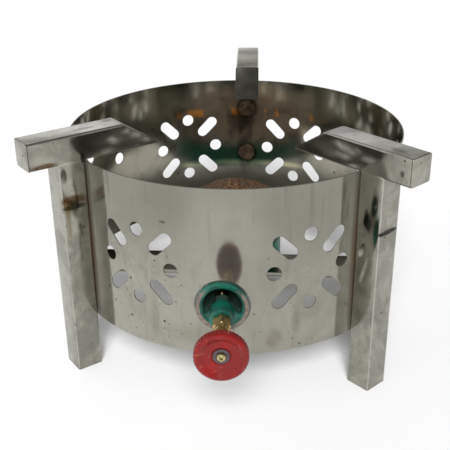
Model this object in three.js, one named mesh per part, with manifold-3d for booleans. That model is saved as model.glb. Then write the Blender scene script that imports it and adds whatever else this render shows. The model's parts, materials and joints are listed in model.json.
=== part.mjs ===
// A free-standing gas burner stand: an open round windshield of sheet steel on three square-tube
// legs, three radial arms that carry the pot, and a cast-iron burner fed through a needle valve.
//
// Millimetres, +Z up. The stand is laid out about the axis of its round shell, with the floor at
// z = 0, the rear leg near +Y and the control knob near -Y. The last lines move it so that the
// origin is the centre of the bottom of its bounding box. Legs, arms and valve are set by hand in a
// welding shop, so they keep the few degrees by which they miss an even layout.
import * as THREE from "three";
import { mergeVertices } from "three/addons/utils/BufferGeometryUtils.js";
import Module from "manifold-3d";

const wasm = await Module();
wasm.setup();

// ---------------------------------------------------------------- driving dimensions

const GAP = 0.3; // left between two pieces that touch or are welded
const EXTRA = 1; // how far a cutter runs past the face that it cuts

const shell = {
  radius: 178,
  wall: 1.2,
  bottom: 59,
  top: 232.5,
  sides: 96,
};

const tube = {
  width: 27.6,
  wall: 1.2,
  corner: 1.5,
};

// Degrees. Azimuths count from +X towards +Y. The twist turns a leg and its arm about the leg.
const LEGS = {
  left: { azimuth: 216, twist: 4 },
  right: { azimuth: 318, twist: -1.3 },
  rear: { azimuth: 89.4, twist: 3.3 },
};
const LEG_STANDOFF = 1.8; // from the shell to the middle of a leg's inner face

const arm = {
  underside: 232.8,
  tipRadius: 94, // the pointed lower end of the bevel
  bevelTopRadius: 138,
  outerRadius: 237,
  plate: 1.5,
};
const ARM_TOP = arm.underside + tube.width;

// The flowers were punched by hand, so they stand at slightly different heights.
const vents = {
  flowers: [
    { azimuth: 23.5, height: 145.5 },
    { azimuth: 69, height: 144 },
    { azimuth: 114.3, height: 147 },
    { azimuth: 159.8, height: 155.3 },
    { azimuth: 242.3, height: 145.5 },
    { azimuth: 297.3, height: 145.5 },
  ],
  ring: 36.1, // from the centre of a flower to the middle of each of its holes
  round: 7.2, // radius of the round holes
  slotWidth: 13,
  slotLength: 30,
};

const legWelds = {
  heights: { upper: 196, lower: 136 },
  headRadius: 10,
  headThickness: 1.4,
  stemRadius: 5,
};

const AXIS_Z = 113.5; // height of the mixing tube, valve and knob

const burner = {
  bottom: 66,
  radius: 51,
  footRadius: 40,
  shoulder: 76,
  rim: 142,
  wall: 5,
  socketRadius: 24,
  socketEnd: 66, // how far the tube socket reaches from the burner's axis
};

const cap = {
  top: 165,
  baseRadius: 50,
  crownRadius: 24,
  wall: 4,
  skirt: 5,
  portRadius: 1.9,
  portRows: [
    { radius: 43.5, count: 16 },
    { radius: 35.5, count: 16 },
    { radius: 21, count: 8 },
    { radius: 9, count: 4 },
  ],
};

const strap = {
  width: 46,
  thickness: 5,
  boltOffset: 24,
};
const STRAP_TOP = burner.bottom - GAP;

// Distances along the mixing tube's axis are counted from the shell's axis towards the knob.
const mixer = {
  start: 47,
  throatRadius: 15.5,
  outerRadius: 19.5,
  flareStart: 138,
  mouth: 181.5,
  mouthRadius: 25.8,
  lip: 3.6, // width of the flat land around the mouth
  rounding: 3.9, // radius of the rounded edge inside the land
};
const SHELL_HOLE_RADIUS = mixer.mouthRadius + 0.9;

const boss = {
  radius: 11.6,
  neckRadius: 7,
  start: 185.5,
  end: 205,
  bore: 5,
  armWidth: 9,
  armTilt: 42, // degrees that each of the two arms slopes down
  armStart: 168,
  armEnd: 180,
};
const VALVE_LEAN = 4.4; // degrees that the boss and valve turn sideways about the bell mouth

const valve = {
  radius: 7.9,
  end: 232,
  hexEnd: 221,
  hexFlats: 16,
  bore: 3.3,
  spigotRadius: 4.6,
  nutEnd: 241,
  nutFlats: 13.5,
};

const barb = {
  along: 228.4,
  rootRadius: 3.6,
  ribRadius: 4.7,
  bore: 2.4,
  bottom: 69,
};

const spindle = {
  radius: 2.9,
  tipStart: 196,
  tipLength: 7,
  end: 258.2,
};

const knob = {
  radius: 24.1,
  back: 254.5,
  face: 265.5,
  dish: 3.4, // depth of the shallow recess in the face
  dishRadius: 20.2,
  dishFloor: 15.4, // radius of the flat floor of the recess
  hubRecess: 8.4, // radius of the pocket that holds the washer and screw
  hubDepth: 4.8,
  hubRadius: 9,
  hubBack: 245,
};

const screw = {
  headRadius: 4.1,
  headHeight: 2.8,
  washerRadius: 7.6,
  washerThickness: 0.9,
  shankRadius: 1.7,
  shankLength: 7,
};

const bolt = {
  across: 13,
  head: 5.3,
  shankRadius: 3.9,
  grip: 8, // how far the shank reaches into the burner's foot
  washerRadius: 8,
  washerThickness: 1.6,
};

// ---------------------------------------------------------------- materials

function finish(color, metalness, roughness) {
  return () => new THREE.MeshStandardMaterial({ color, metalness, roughness });
}

const polishedSteel = finish(0xa8a496, 1.0, 0.22);
const weldMetal = finish(0x4a3227, 0.6, 0.6);
const greenPaint = finish(0x0c5a3c, 0.1, 0.25);
const burntIron = finish(0x5b3820, 0.3, 0.85);
const brass = finish(0xb58a4a, 1.0, 0.3);
const redPlastic = finish(0xa51f1f, 0.0, 0.3);
const zincPlate = finish(0xc4b56a, 1.0, 0.35);
const packingWhite = finish(0xe6e4dc, 0.0, 0.7);

// ---------------------------------------------------------------- solids

// A closed three.js geometry as a solid that can be joined and cut.
function solid(geometry) {
  const bare = geometry.index ? geometry.toNonIndexed() : geometry.clone();
  bare.deleteAttribute("normal");
  bare.deleteAttribute("uv");
  const merged = mergeVertices(bare, 1e-4);
  const corners = merged.index.array;
  const kept = [];
  for (let i = 0; i < corners.length; i += 3) {
    const [a, b, c] = [corners[i], corners[i + 1], corners[i + 2]];
    if (a !== b && b !== c && c !== a) kept.push(a, b, c);
  }
  return new wasm.Manifold(
    new wasm.Mesh({
      numProp: 3,
      vertProperties: merged.attributes.position.array,
      triVerts: new Uint32Array(kept),
    }),
  );
}

function geometryOf(made) {
  const mesh = made.getMesh();
  const geometry = new THREE.BufferGeometry();
  geometry.setAttribute("position", new THREE.BufferAttribute(mesh.vertProperties, 3));
  geometry.setIndex(new THREE.BufferAttribute(mesh.triVerts, 1));
  const faceted = geometry.toNonIndexed();
  faceted.computeVertexNormals();
  return faceted;
}

const joined = (first, ...others) => others.reduce((sum, each) => sum.add(each), first);
const cutBy = (first, ...others) => others.reduce((rest, each) => rest.subtract(each), first);

// Twice the signed area of a closed outline, positive when it runs anticlockwise.
function doubleArea(outline) {
  return outline.reduce((sum, [x, y], i) => {
    const [nextX, nextY] = outline[(i + 1) % outline.length];
    return sum + x * nextY - nextX * y;
  }, 0);
}

// A quarter-round edge in an outline, as a list of corners without its first.
function roundedCorner(centreR, centreZ, radius, fromAngle, toAngle, steps) {
  return Array.from({ length: steps }, (_, i) => {
    const angle = fromAngle + ((i + 1) / steps) * (toAngle - fromAngle);
    return [centreR + radius * Math.cos(angle), centreZ + radius * Math.sin(angle)];
  });
}

// A solid of revolution about +Z from an outline of [radius, height] corners.
function revolved(outline, sides) {
  const ordered = doubleArea(outline) > 0 ? outline : [...outline].reverse();
  const points = [...ordered, ordered[0]].map(([r, z]) => new THREE.Vector2(r, z));
  return new THREE.LatheGeometry(points, sides).rotateX(Math.PI / 2);
}

// The same, turned so that the outline's heights count along -Y at the mixing tube's height.
function turnedOnAxis(outline, sides) {
  return revolved(outline, sides)
    .rotateX(Math.PI / 2)
    .translate(0, 0, AXIS_Z);
}

// A plain rod from one height to another on the Z axis.
function rod(radius, from, to, sides) {
  return new THREE.CylinderGeometry(radius, radius, to - from, sides)
    .rotateX(Math.PI / 2)
    .translate(0, 0, (from + to) / 2);
}

// A plain rod along the mixing tube's axis.
function axialRod(radius, from, to, sides) {
  return rod(radius, from, to, sides)
    .rotateX(Math.PI / 2)
    .translate(0, 0, AXIS_Z);
}

// A hexagonal prism along the mixing tube's axis, with a corner at the top.
function axialHexagon(acrossFlats, from, to) {
  return axialRod(acrossFlats / Math.sqrt(3), from, to, 6);
}

function extruded(shape, depth, curveSegments) {
  return new THREE.ExtrudeGeometry(shape, { depth, bevelEnabled: false, curveSegments });
}

function roundedSquare(width, corner) {
  const edge = width / 2;
  const centre = edge - corner;
  const shape = new THREE.Shape();
  shape.absarc(centre, centre, corner, 0, Math.PI / 2);
  shape.absarc(-centre, centre, corner, Math.PI / 2, Math.PI);
  shape.absarc(-centre, -centre, corner, Math.PI, 1.5 * Math.PI);
  shape.absarc(centre, -centre, corner, 1.5 * Math.PI, 2 * Math.PI);
  shape.closePath();
  return shape;
}

const CORNER_STEPS = 2;

function squareBar(length) {
  return extruded(roundedSquare(tube.width, tube.corner), length, CORNER_STEPS);
}

function squareTube(length) {
  const shape = roundedSquare(tube.width, tube.corner);
  const inner = roundedSquare(tube.width - 2 * tube.wall, tube.corner - tube.wall);
  shape.holes.push(new THREE.Path(inner.getPoints(CORNER_STEPS).reverse()));
  return extruded(shape, length, CORNER_STEPS);
}

// ---------------------------------------------------------------- scene graph

const stand = new THREE.Group();

function place(parent, name, material, geometry) {
  const mesh = new THREE.Mesh(geometry, material());
  mesh.name = name;
  parent.add(mesh);
  return mesh;
}

// ---------------------------------------------------------------- shell

const degrees = THREE.MathUtils.degToRad;

// A cutter through the shell's wall at an azimuth, made from an outline drawn as seen from outside.
function wallCutter(shape, azimuth, height, curveSegments) {
  const depth = 8;
  return extruded(shape, depth, curveSegments)
    .translate(0, 0, shell.radius - shell.wall - depth / 2)
    .rotateX(Math.PI / 2)
    .rotateZ(degrees(azimuth) + Math.PI / 2)
    .translate(0, 0, height);
}

function roundHole(radius) {
  return new THREE.Shape().absarc(0, 0, radius, 0, 2 * Math.PI);
}

// A slot whose long axis leans by an angle from the horizontal.
function slotHole(angle) {
  const radius = vents.slotWidth / 2;
  const reach = vents.slotLength / 2 - radius;
  const shape = new THREE.Shape();
  const [x, y] = [reach * Math.cos(angle), reach * Math.sin(angle)];
  shape.absarc(x, y, radius, angle - Math.PI / 2, angle + Math.PI / 2);
  shape.absarc(-x, -y, radius, angle + Math.PI / 2, angle + 1.5 * Math.PI);
  shape.closePath();
  return shape;
}

// The eight holes of one vent flower: round ones on the upright cross, slots on the diagonals.
function flowerCutters({ azimuth, height }) {
  const cutters = [];
  for (let i = 0; i < 8; i += 1) {
    const angle = (i * Math.PI) / 4;
    const isSlot = i % 2 === 1;
    const shape = isSlot ? slotHole(angle) : roundHole(vents.round);
    const across = vents.ring * Math.cos(angle);
    const up = vents.ring * Math.sin(angle);
    const turn = THREE.MathUtils.radToDeg(across / shell.radius);
    const segments = isSlot ? 3 : 6;
    cutters.push(solid(wallCutter(shape, azimuth + turn, height + up, segments)));
  }
  return cutters;
}

const WELD_HOLE_RADIUS = legWelds.stemRadius + GAP;

function makeShell() {
  const inner = shell.radius - shell.wall;
  const wall = revolved(
    [
      [inner, shell.bottom],
      [shell.radius, shell.bottom],
      [shell.radius, shell.top],
      [inner, shell.top],
    ],
    shell.sides,
  );
  const cutters = vents.flowers.flatMap(flowerCutters);
  cutters.push(solid(wallCutter(roundHole(SHELL_HOLE_RADIUS), -90, AXIS_Z, 16)));
  for (const { azimuth } of Object.values(LEGS)) {
    for (const height of Object.values(legWelds.heights)) {
      cutters.push(solid(wallCutter(roundHole(WELD_HOLE_RADIUS), azimuth, height, 5)));
    }
  }
  return geometryOf(cutBy(solid(wall), ...cutters));
}

place(stand, "shell", polishedSteel, makeShell());

// ---------------------------------------------------------------- legs and arms

// In a leg's own group +X runs outwards along the leg's azimuth.
const legCentre = shell.radius + LEG_STANDOFF + tube.width / 2;
const FOOT_TOP = arm.plate;

// The solid above the slanted inner end of an arm, moved outwards by a distance square to the slant.
function aboveBevel(outwards) {
  const run = arm.bevelTopRadius - arm.tipRadius;
  const slope = Math.atan2(tube.width, run);
  const size = 120;
  return solid(
    new THREE.BoxGeometry(size, size, size)
      .translate(0, 0, size / 2)
      .rotateY(-slope)
      .translate(
        arm.tipRadius + outwards * Math.sin(slope),
        0,
        arm.underside - outwards * Math.cos(slope),
      ),
  );
}

function alongArm(geometry, from) {
  return geometry
    .rotateY(Math.PI / 2)
    .translate(from, 0, arm.underside + tube.width / 2);
}

function makeArm() {
  const length = arm.outerRadius - arm.plate - GAP - arm.tipRadius;
  const bar = alongArm(squareTube(length), arm.tipRadius);
  return geometryOf(cutBy(solid(bar), aboveBevel(arm.plate + GAP)));
}

function makeBevelPlate() {
  const length = arm.outerRadius - arm.tipRadius;
  const bar = solid(alongArm(squareBar(length), arm.tipRadius));
  return geometryOf(cutBy(bar.intersect(aboveBevel(arm.plate)), aboveBevel(0)));
}

function makeLegWeld() {
  const { headRadius, headThickness, stemRadius } = legWelds;
  const seat = shell.wall + GAP + 0.6; // clears the curve of the wall under the edge of the head
  const stemEnd = LEG_STANDOFF - GAP - 0.7; // clears the twisted face of the leg
  return revolved(
    [
      [0, -seat - headThickness],
      [headRadius * 0.55, -seat - headThickness],
      [headRadius, -seat - headThickness * 0.3],
      [headRadius, -seat],
      [stemRadius, -seat],
      [stemRadius, stemEnd],
      [0, stemEnd],
    ],
    12,
  )
    .rotateY(Math.PI / 2)
    .translate(shell.radius + GAP, 0, 0);
}

for (const [side, { azimuth, twist }] of Object.entries(LEGS)) {
  const sector = new THREE.Group();
  sector.rotation.z = degrees(azimuth);
  stand.add(sector);
  for (const [level, height] of Object.entries(legWelds.heights)) {
    const weld = place(sector, `leg_weld_${side}_${level}`, weldMetal, makeLegWeld());
    weld.position.z = height;
  }

  const leg = new THREE.Group();
  leg.position.x = legCentre;
  leg.rotation.z = degrees(twist);
  sector.add(leg);
  const legBottom = FOOT_TOP + GAP;
  const legTube = squareTube(arm.underside - GAP - legBottom);
  place(leg, `leg_${side}`, polishedSteel, legTube).position.z = legBottom;
  place(leg, `foot_plate_${side}`, polishedSteel, squareBar(arm.plate));

  const topBar = new THREE.Group();
  topBar.position.x = -legCentre;
  leg.add(topBar);
  const endPlate = alongArm(squareBar(arm.plate), arm.outerRadius - arm.plate);
  place(topBar, `arm_${side}`, polishedSteel, makeArm());
  place(topBar, `arm_tip_plate_${side}`, polishedSteel, makeBevelPlate());
  place(topBar, `arm_end_plate_${side}`, polishedSteel, endPlate);
}

// ---------------------------------------------------------------- burner support

// A flat bar across the inside of the shell, its ends curved to meet the wall.
function makeStrap() {
  const reach = shell.radius - shell.wall - GAP;
  const disc = solid(rod(reach, STRAP_TOP - strap.thickness, STRAP_TOP, shell.sides));
  const blank = solid(
    new THREE.BoxGeometry(2 * shell.radius, strap.width, 4 * strap.thickness).translate(0, 0, STRAP_TOP),
  );
  const holes = [-1, 1].map((side) =>
    solid(
      rod(bolt.shankRadius + GAP, STRAP_TOP - 2 * strap.thickness, STRAP_TOP + EXTRA, 16)
        .translate(side * strap.boltOffset, 0, 0),
    ),
  );
  return geometryOf(cutBy(disc.intersect(blank), ...holes));
}

place(stand, "burner_strap", polishedSteel, makeStrap());

// ---------------------------------------------------------------- burner bowl

const SOCKET_BORE = mixer.outerRadius + GAP;

function makeBowl() {
  const { bottom, radius, footRadius, shoulder, rim, wall } = burner;
  const inner = radius - wall;
  const floor = shoulder + wall + 3;
  const outside = solid(
    revolved(
      [
        [0, bottom],
        [footRadius, bottom],
        [radius, shoulder],
        [radius, rim],
        [0, rim],
      ],
      48,
    ),
  );
  const socket = solid(axialRod(burner.socketRadius, radius - 2 * wall, burner.socketEnd, 32));
  const hollow = solid(
    revolved(
      [
        [0, floor - 2],
        [footRadius - wall, floor - 2],
        [inner, floor + 5],
        [inner, rim + EXTRA],
        [0, rim + EXTRA],
      ],
      40,
    ),
  );
  const bore = solid(axialRod(SOCKET_BORE, radius - 2.4 * wall, burner.socketEnd + EXTRA, 32));
  const boltHoles = [-1, 1].map((side) =>
    solid(
      rod(bolt.shankRadius + GAP, bottom - EXTRA, bottom + bolt.grip + GAP, 16)
        .translate(side * strap.boltOffset, 0, 0),
    ),
  );
  return geometryOf(cutBy(joined(outside, socket), hollow, bore, ...boltHoles));
}

place(stand, "burner_bowl", greenPaint, makeBowl());

// ---------------------------------------------------------------- burner cap

// Height of the cap's sloping top at a distance from its axis.
function capTopAt(radius) {
  const { top, baseRadius, crownRadius } = cap;
  const shoulder = burner.rim + GAP + cap.skirt;
  const slope = (top - shoulder) / (baseRadius - crownRadius);
  return radius < crownRadius ? top : top - (radius - crownRadius) * slope;
}

function makeCap() {
  const { baseRadius, crownRadius, wall } = cap;
  const seat = burner.rim + GAP;
  const inner = burner.radius - burner.wall - GAP;
  const outside = [
    [0, capTopAt(0)],
    [crownRadius, capTopAt(crownRadius)],
    [baseRadius, capTopAt(baseRadius)],
    [baseRadius, seat],
  ];
  const inside = [
    [inner, seat],
    [inner, seat - 6],
    [inner - wall, seat - 6],
    [inner - wall, capTopAt(inner) - wall],
    [crownRadius - 2, capTopAt(0) - wall],
    [0, capTopAt(0) - wall],
  ];
  const body = solid(revolved([...outside, ...inside], 32));
  const ports = cap.portRows.flatMap(({ radius, count }, row) =>
    Array.from({ length: count }, (_, i) => {
      const angle = ((i + (row % 2) / 2) * 2 * Math.PI) / count;
      const lean = radius > crownRadius ? Math.PI / 5 : 0;
      return solid(
        rod(cap.portRadius, -wall - 3, wall + 3, 6)
          .rotateY(lean)
          .translate(radius, 0, capTopAt(radius) - wall / 2)
          .rotateZ(angle),
      );
    }),
  );
  return geometryOf(cutBy(body, ...ports));
}

place(stand, "burner_cap", burntIron, makeCap());

// ---------------------------------------------------------------- mixing tube

// Turns a geometry sideways about the middle of the bell mouth, as the boss and valve are.
function leaned(geometry) {
  return geometry
    .translate(0, mixer.mouth, 0)
    .rotateZ(degrees(VALVE_LEAN))
    .translate(0, -mixer.mouth, 0);
}

// A venturi tube that flares into a bell mouth, with a two-armed bridge that holds the valve boss.
function makeMixingTube() {
  const { start, throatRadius, outerRadius, flareStart, mouth, mouthRadius, lip, rounding } = mixer;
  const steps = 5;
  const outsideFlare = [];
  for (let i = 0; i <= steps; i += 1) {
    const share = i / steps;
    const swell = 1 - Math.cos((share * Math.PI) / 2);
    outsideFlare.push([
      outerRadius + swell * (mouthRadius - outerRadius),
      flareStart + share * (mouth - 4 - flareStart),
    ]);
  }
  const landRadius = mouthRadius - lip;
  const wall = solid(
    turnedOnAxis(
      [
        [outerRadius, start],
        ...outsideFlare,
        [mouthRadius, mouth],
        [landRadius, mouth],
        ...roundedCorner(landRadius, mouth - rounding, rounding, Math.PI / 2, Math.PI, 4),
        [throatRadius, flareStart],
        [throatRadius, start],
      ],
      36,
    ),
  );

  const hub = solid(leaned(axialRod(boss.radius, boss.start, boss.end, 32)));
  const neck = solid(leaned(axialRod(boss.neckRadius, boss.armStart, boss.start + EXTRA, 24)));
  const reach = mixer.mouthRadius - lip / 2;
  const arms = [-1, 1].map((side) =>
    solid(
      new THREE.BoxGeometry(reach, boss.armEnd - boss.armStart, boss.armWidth)
        .translate((side * reach) / 2, -(boss.armStart + boss.armEnd) / 2, 0)
        .rotateY(side * degrees(boss.armTilt))
        .translate(0, 0, AXIS_Z),
    ),
  );
  // The arms stop inside the thickness of the bell's wall.
  const bellOutside = solid(
    turnedOnAxis(
      [
        [0, start],
        [outerRadius, start],
        ...outsideFlare,
        [mouthRadius, mouth],
        [0, mouth],
      ],
      36,
    ),
  );
  const bridge = joined(...arms).intersect(bellOutside);
  const bore = solid(leaned(axialRod(boss.bore, boss.armStart - EXTRA, boss.end + EXTRA, 20)));
  return geometryOf(cutBy(joined(wall, bridge, neck, hub), bore));
}

place(stand, "mixing_tube", greenPaint, makeMixingTube());

// ---------------------------------------------------------------- gas valve

// The valve's pieces are laid out straight along -Y, and this group leans them with the boss.
const valveGroup = new THREE.Group();
valveGroup.rotation.z = degrees(VALVE_LEAN);
valveGroup.position.set(
  mixer.mouth * -Math.sin(degrees(VALVE_LEAN)),
  mixer.mouth * (Math.cos(degrees(VALVE_LEAN)) - 1),
  0,
);
stand.add(valveGroup);

const VALVE_START = boss.end + GAP;

// The jet's hexagon stops short of the bridge, which doesn't lean with it.
function makeInjector() {
  const hexEnd = boss.armStart - 1;
  const body = joined(
    solid(axialHexagon(12, hexEnd - 8, hexEnd)),
    solid(axialRod(3.4, hexEnd - 13, hexEnd - 7, 16)),
    solid(axialRod(boss.bore - GAP, hexEnd - 4, hexEnd + 6, 20)),
  );
  const orifice = solid(axialRod(1.2, hexEnd - 14, hexEnd + 7, 8));
  return geometryOf(body.subtract(orifice));
}

place(valveGroup, "injector_jet", brass, makeInjector());

// The body screws into the boss; its side port takes the hose barb and its bore holds the spindle.
function makeValveBody() {
  const { radius, end, hexEnd, hexFlats, bore, spigotRadius } = valve;
  const body = joined(
    solid(axialRod(radius, hexEnd, end, 28)),
    solid(axialHexagon(hexFlats, VALVE_START, hexEnd + EXTRA)),
    solid(axialRod(spigotRadius, boss.armStart + 8, VALVE_START + EXTRA, 20)),
  );
  const passage = solid(axialRod(1.6, boss.armStart + 7, spindle.tipStart - 1, 10));
  const stemBore = solid(axialRod(bore, spindle.tipStart - 2, end + EXTRA, 16));
  const sidePort = solid(
    rod(barb.rootRadius + GAP, AXIS_Z - radius - EXTRA, AXIS_Z - bore + EXTRA, 16)
      .translate(0, -barb.along, 0),
  );
  return geometryOf(cutBy(body, passage, stemBore, sidePort));
}

place(valveGroup, "valve_body", brass, makeValveBody());

function makePacking() {
  const outer = solid(axialRod(valve.nutFlats / 2 - 2.6, valve.end + GAP, valve.end + 3.3, 20));
  return geometryOf(outer.subtract(solid(axialRod(valve.bore, valve.end, valve.end + 5, 16))));
}

place(valveGroup, "gland_packing", packingWhite, makePacking());

function makeGlandNut() {
  const { end, nutEnd, nutFlats, bore } = valve;
  const nut = solid(axialHexagon(nutFlats, end + GAP, nutEnd));
  const pocket = solid(axialRod(nutFlats / 2 - 2.3, end, end + 3.6, 20));
  const stemHole = solid(axialRod(bore, end, nutEnd + EXTRA, 16));
  return geometryOf(cutBy(nut, pocket, stemHole));
}

place(valveGroup, "gland_nut", brass, makeGlandNut());

function makeSpindle() {
  const { radius, tipStart, tipLength, end } = spindle;
  const stem = solid(
    turnedOnAxis(
      [
        [0, tipStart],
        [0.5, tipStart],
        [radius, tipStart + tipLength],
        [radius, end],
        [0, end],
      ],
      20,
    ),
  );
  const tapped = solid(axialRod(screw.shankRadius + GAP, end - screw.shankLength - 1, end + EXTRA, 12));
  return geometryOf(stem.subtract(tapped));
}

place(valveGroup, "valve_spindle", brass, makeSpindle());

function makeBarb() {
  const { rootRadius, ribRadius, bore, bottom, along } = barb;
  const top = AXIS_Z - valve.bore - GAP;
  const collarTop = AXIS_Z - valve.radius - 2 * GAP;
  const collarBottom = collarTop - 5;
  const ribs = 4;
  const pitch = (collarBottom - 3 - bottom) / ribs;
  const outline = [
    [bore, top],
    [rootRadius, top],
    [rootRadius, collarTop],
    [rootRadius + 2.6, collarTop],
    [rootRadius + 2.6, collarBottom],
    [rootRadius, collarBottom],
  ];
  for (let i = 0; i < ribs; i += 1) {
    const ribTop = bottom + (ribs - i) * pitch;
    outline.push([rootRadius, ribTop], [ribRadius, ribTop]);
  }
  outline.push([rootRadius, bottom], [bore, bottom]);
  return revolved(outline, 16).translate(0, -along, 0);
}

place(valveGroup, "hose_barb", brass, makeBarb());

// ---------------------------------------------------------------- control knob

function makeKnob() {
  const { radius, back, face, dish, dishRadius, dishFloor, hubRecess, hubDepth, hubRadius, hubBack } = knob;
  const stemHole = spindle.radius + GAP;
  const edge = 2.4;
  const outline = [
    [stemHole, hubBack],
    [hubRadius, hubBack],
    [hubRadius, back],
    [radius - edge, back],
    ...roundedCorner(radius - edge, back + edge, edge, -Math.PI / 2, 0, 3),
    [radius, face - edge],
    ...roundedCorner(radius - edge, face - edge, edge, 0, Math.PI / 2, 3),
    [dishRadius, face - 0.4],
    [dishFloor, face - dish],
    [hubRecess, face - dish],
    [hubRecess, face - hubDepth],
    [stemHole, face - hubDepth],
  ];
  return turnedOnAxis(outline, 36);
}

const handwheel = new THREE.Group();
valveGroup.add(handwheel);
place(handwheel, "handwheel", redPlastic, makeKnob());

const WASHER_BACK = knob.face - knob.hubDepth + GAP;

function makeKnobWasher() {
  const { washerRadius, washerThickness, shankRadius } = screw;
  const disc = solid(axialRod(washerRadius, WASHER_BACK, WASHER_BACK + washerThickness, 24));
  const hole = solid(axialRod(shankRadius + GAP, WASHER_BACK - EXTRA, WASHER_BACK + 3, 12));
  return geometryOf(disc.subtract(hole));
}

place(handwheel, "handwheel_washer", zincPlate, makeKnobWasher());

// A pan-head screw with a cross recess.
function makeKnobScrew() {
  const { headRadius, headHeight, washerThickness, shankRadius, shankLength } = screw;
  const seat = WASHER_BACK + washerThickness + GAP;
  const head = solid(
    turnedOnAxis(
      [
        [0, seat],
        [headRadius, seat],
        [headRadius, seat + headHeight * 0.5],
        [headRadius * 0.8, seat + headHeight * 0.85],
        [headRadius * 0.35, seat + headHeight],
        [0, seat + headHeight],
      ],
      24,
    ),
  );
  const shankEnd = spindle.end - shankLength;
  const shank = solid(axialRod(shankRadius, shankEnd, seat + 0.5, 12));
  const slots = [0, Math.PI / 2].map((turn) =>
    solid(
      new THREE.BoxGeometry(headRadius * 1.1, 3, 0.9)
        .translate(0, -(seat + headHeight), 0)
        .rotateY(turn + Math.PI / 4)
        .translate(0, 0, AXIS_Z),
    ),
  );
  return geometryOf(cutBy(joined(head, shank), ...slots));
}

place(handwheel, "handwheel_screw", zincPlate, makeKnobScrew());

// ---------------------------------------------------------------- burner bolts

const STRAP_UNDERSIDE = STRAP_TOP - strap.thickness;
const WASHER_BOTTOM = STRAP_UNDERSIDE - GAP - bolt.washerThickness;

function makeBoltWasher() {
  const disc = solid(rod(bolt.washerRadius, WASHER_BOTTOM, WASHER_BOTTOM + bolt.washerThickness, 24));
  const hole = solid(rod(bolt.shankRadius + GAP, WASHER_BOTTOM - EXTRA, STRAP_TOP, 16));
  return geometryOf(disc.subtract(hole));
}

function makeBolt() {
  const headTop = WASHER_BOTTOM - GAP;
  const head = solid(rod(bolt.across / Math.sqrt(3), headTop - bolt.head, headTop, 6));
  const shank = solid(rod(bolt.shankRadius, headTop - EXTRA, burner.bottom + bolt.grip, 16));
  return geometryOf(head.add(shank));
}

for (const [side, sign] of Object.entries({ left: -1, right: 1 })) {
  const washer = place(stand, `burner_bolt_washer_${side}`, zincPlate, makeBoltWasher());
  washer.position.x = sign * strap.boltOffset;
  const fastener = place(stand, `burner_bolt_${side}`, zincPlate, makeBolt());
  fastener.position.x = sign * strap.boltOffset;
}

// ---------------------------------------------------------------- origin

const middle = new THREE.Box3().setFromObject(stand, true).getCenter(new THREE.Vector3());
stand.position.set(-middle.x, -middle.y, 0);

export default stand;
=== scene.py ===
"""Looks of the burner stand: a round steel windshield on three tube legs, with a cast burner and its valve.

Everything built is in metres, in the frame of the CAD model. Outlines, tables and the dimensions of small
parts are written in millimetres and multiplied by MM where they are used.
"""

import json
import random
from math import asin, atan2, cos, exp, pi, radians, sin, sqrt, tan
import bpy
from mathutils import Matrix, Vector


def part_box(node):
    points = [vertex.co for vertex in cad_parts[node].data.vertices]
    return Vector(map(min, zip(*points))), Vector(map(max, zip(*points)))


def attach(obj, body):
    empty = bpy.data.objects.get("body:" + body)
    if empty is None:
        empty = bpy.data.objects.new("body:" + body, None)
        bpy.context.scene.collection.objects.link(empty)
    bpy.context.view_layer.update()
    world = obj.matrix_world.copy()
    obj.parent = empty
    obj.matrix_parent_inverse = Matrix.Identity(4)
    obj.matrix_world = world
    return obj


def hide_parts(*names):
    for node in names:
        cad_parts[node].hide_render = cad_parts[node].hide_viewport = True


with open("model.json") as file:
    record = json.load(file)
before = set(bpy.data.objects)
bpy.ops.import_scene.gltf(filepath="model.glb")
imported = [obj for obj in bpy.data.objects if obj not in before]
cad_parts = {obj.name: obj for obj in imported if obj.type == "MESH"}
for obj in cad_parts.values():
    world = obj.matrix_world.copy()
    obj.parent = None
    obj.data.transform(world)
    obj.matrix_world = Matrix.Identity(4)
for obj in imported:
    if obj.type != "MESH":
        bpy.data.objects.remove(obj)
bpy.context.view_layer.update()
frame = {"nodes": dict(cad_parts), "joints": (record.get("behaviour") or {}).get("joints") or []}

from types import SimpleNamespace

import bmesh
import bpy
from mathutils import Matrix, Vector
from mathutils.geometry import delaunay_2d_cdt

MM = 0.001
UP = Vector((0, 0, 1))
FULL_TURN = 2 * pi
GAP = 0.3  # between pieces that rest on each other
MERGE = 0.002 * MM  # closer corners of one piece become one corner

# ---- places read from the frame


def middle(node):
    low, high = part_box(node)
    return (low + high) / 2


def thickness(node):
    low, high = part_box(node)
    return high.z - low.z


def span(node, origin, direction):
    """Least and greatest distance of a CAD node's corners from a point along a direction."""
    reach = [(v.co - origin).dot(direction) for v in frame["nodes"][node].data.vertices]
    return min(reach), max(reach)


def level(direction):
    """The level unit vector that is nearest to a direction."""
    return Vector((*direction.xy.normalized(), 0))


SHELL_LOW, SHELL_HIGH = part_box("shell")
AXIS = Vector((*middle("shell").xy, 0))  # the shell's axis where it meets the floor
SHELL_RADIUS = (SHELL_HIGH.x - SHELL_LOW.x) / 2
SHELL_WALL = 1.2 * MM

TUBE_WIDTH = thickness("arm_end_plate_left")
TUBE_CORNER = 2.1 * MM
PLATE = thickness("foot_plate_left")
ARM_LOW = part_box("arm_left")[0].z
ARM_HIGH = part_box("arm_left")[1].z

SIDES = ("left", "right", "rear")
LEG_AXIS = {side: Vector((*middle("leg_" + side).xy, 0)) for side in SIDES}
ARM_OUT = {side: level(middle("arm_end_plate_" + side) - LEG_AXIS[side]) for side in SIDES}

TURN = next(j for j in frame["joints"] if j["name"] == "handwheel_turn")
VALVE_OUT = Vector(TURN["axis"]).normalized()
VALVE_PIVOT = Vector(TURN["pos_m"])
TUBE_HEIGHT = middle("mixing_tube").z
BELL_OUT = Vector((0, -1, 0))
BELL_ORIGIN = AXIS + UP * TUBE_HEIGHT
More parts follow.
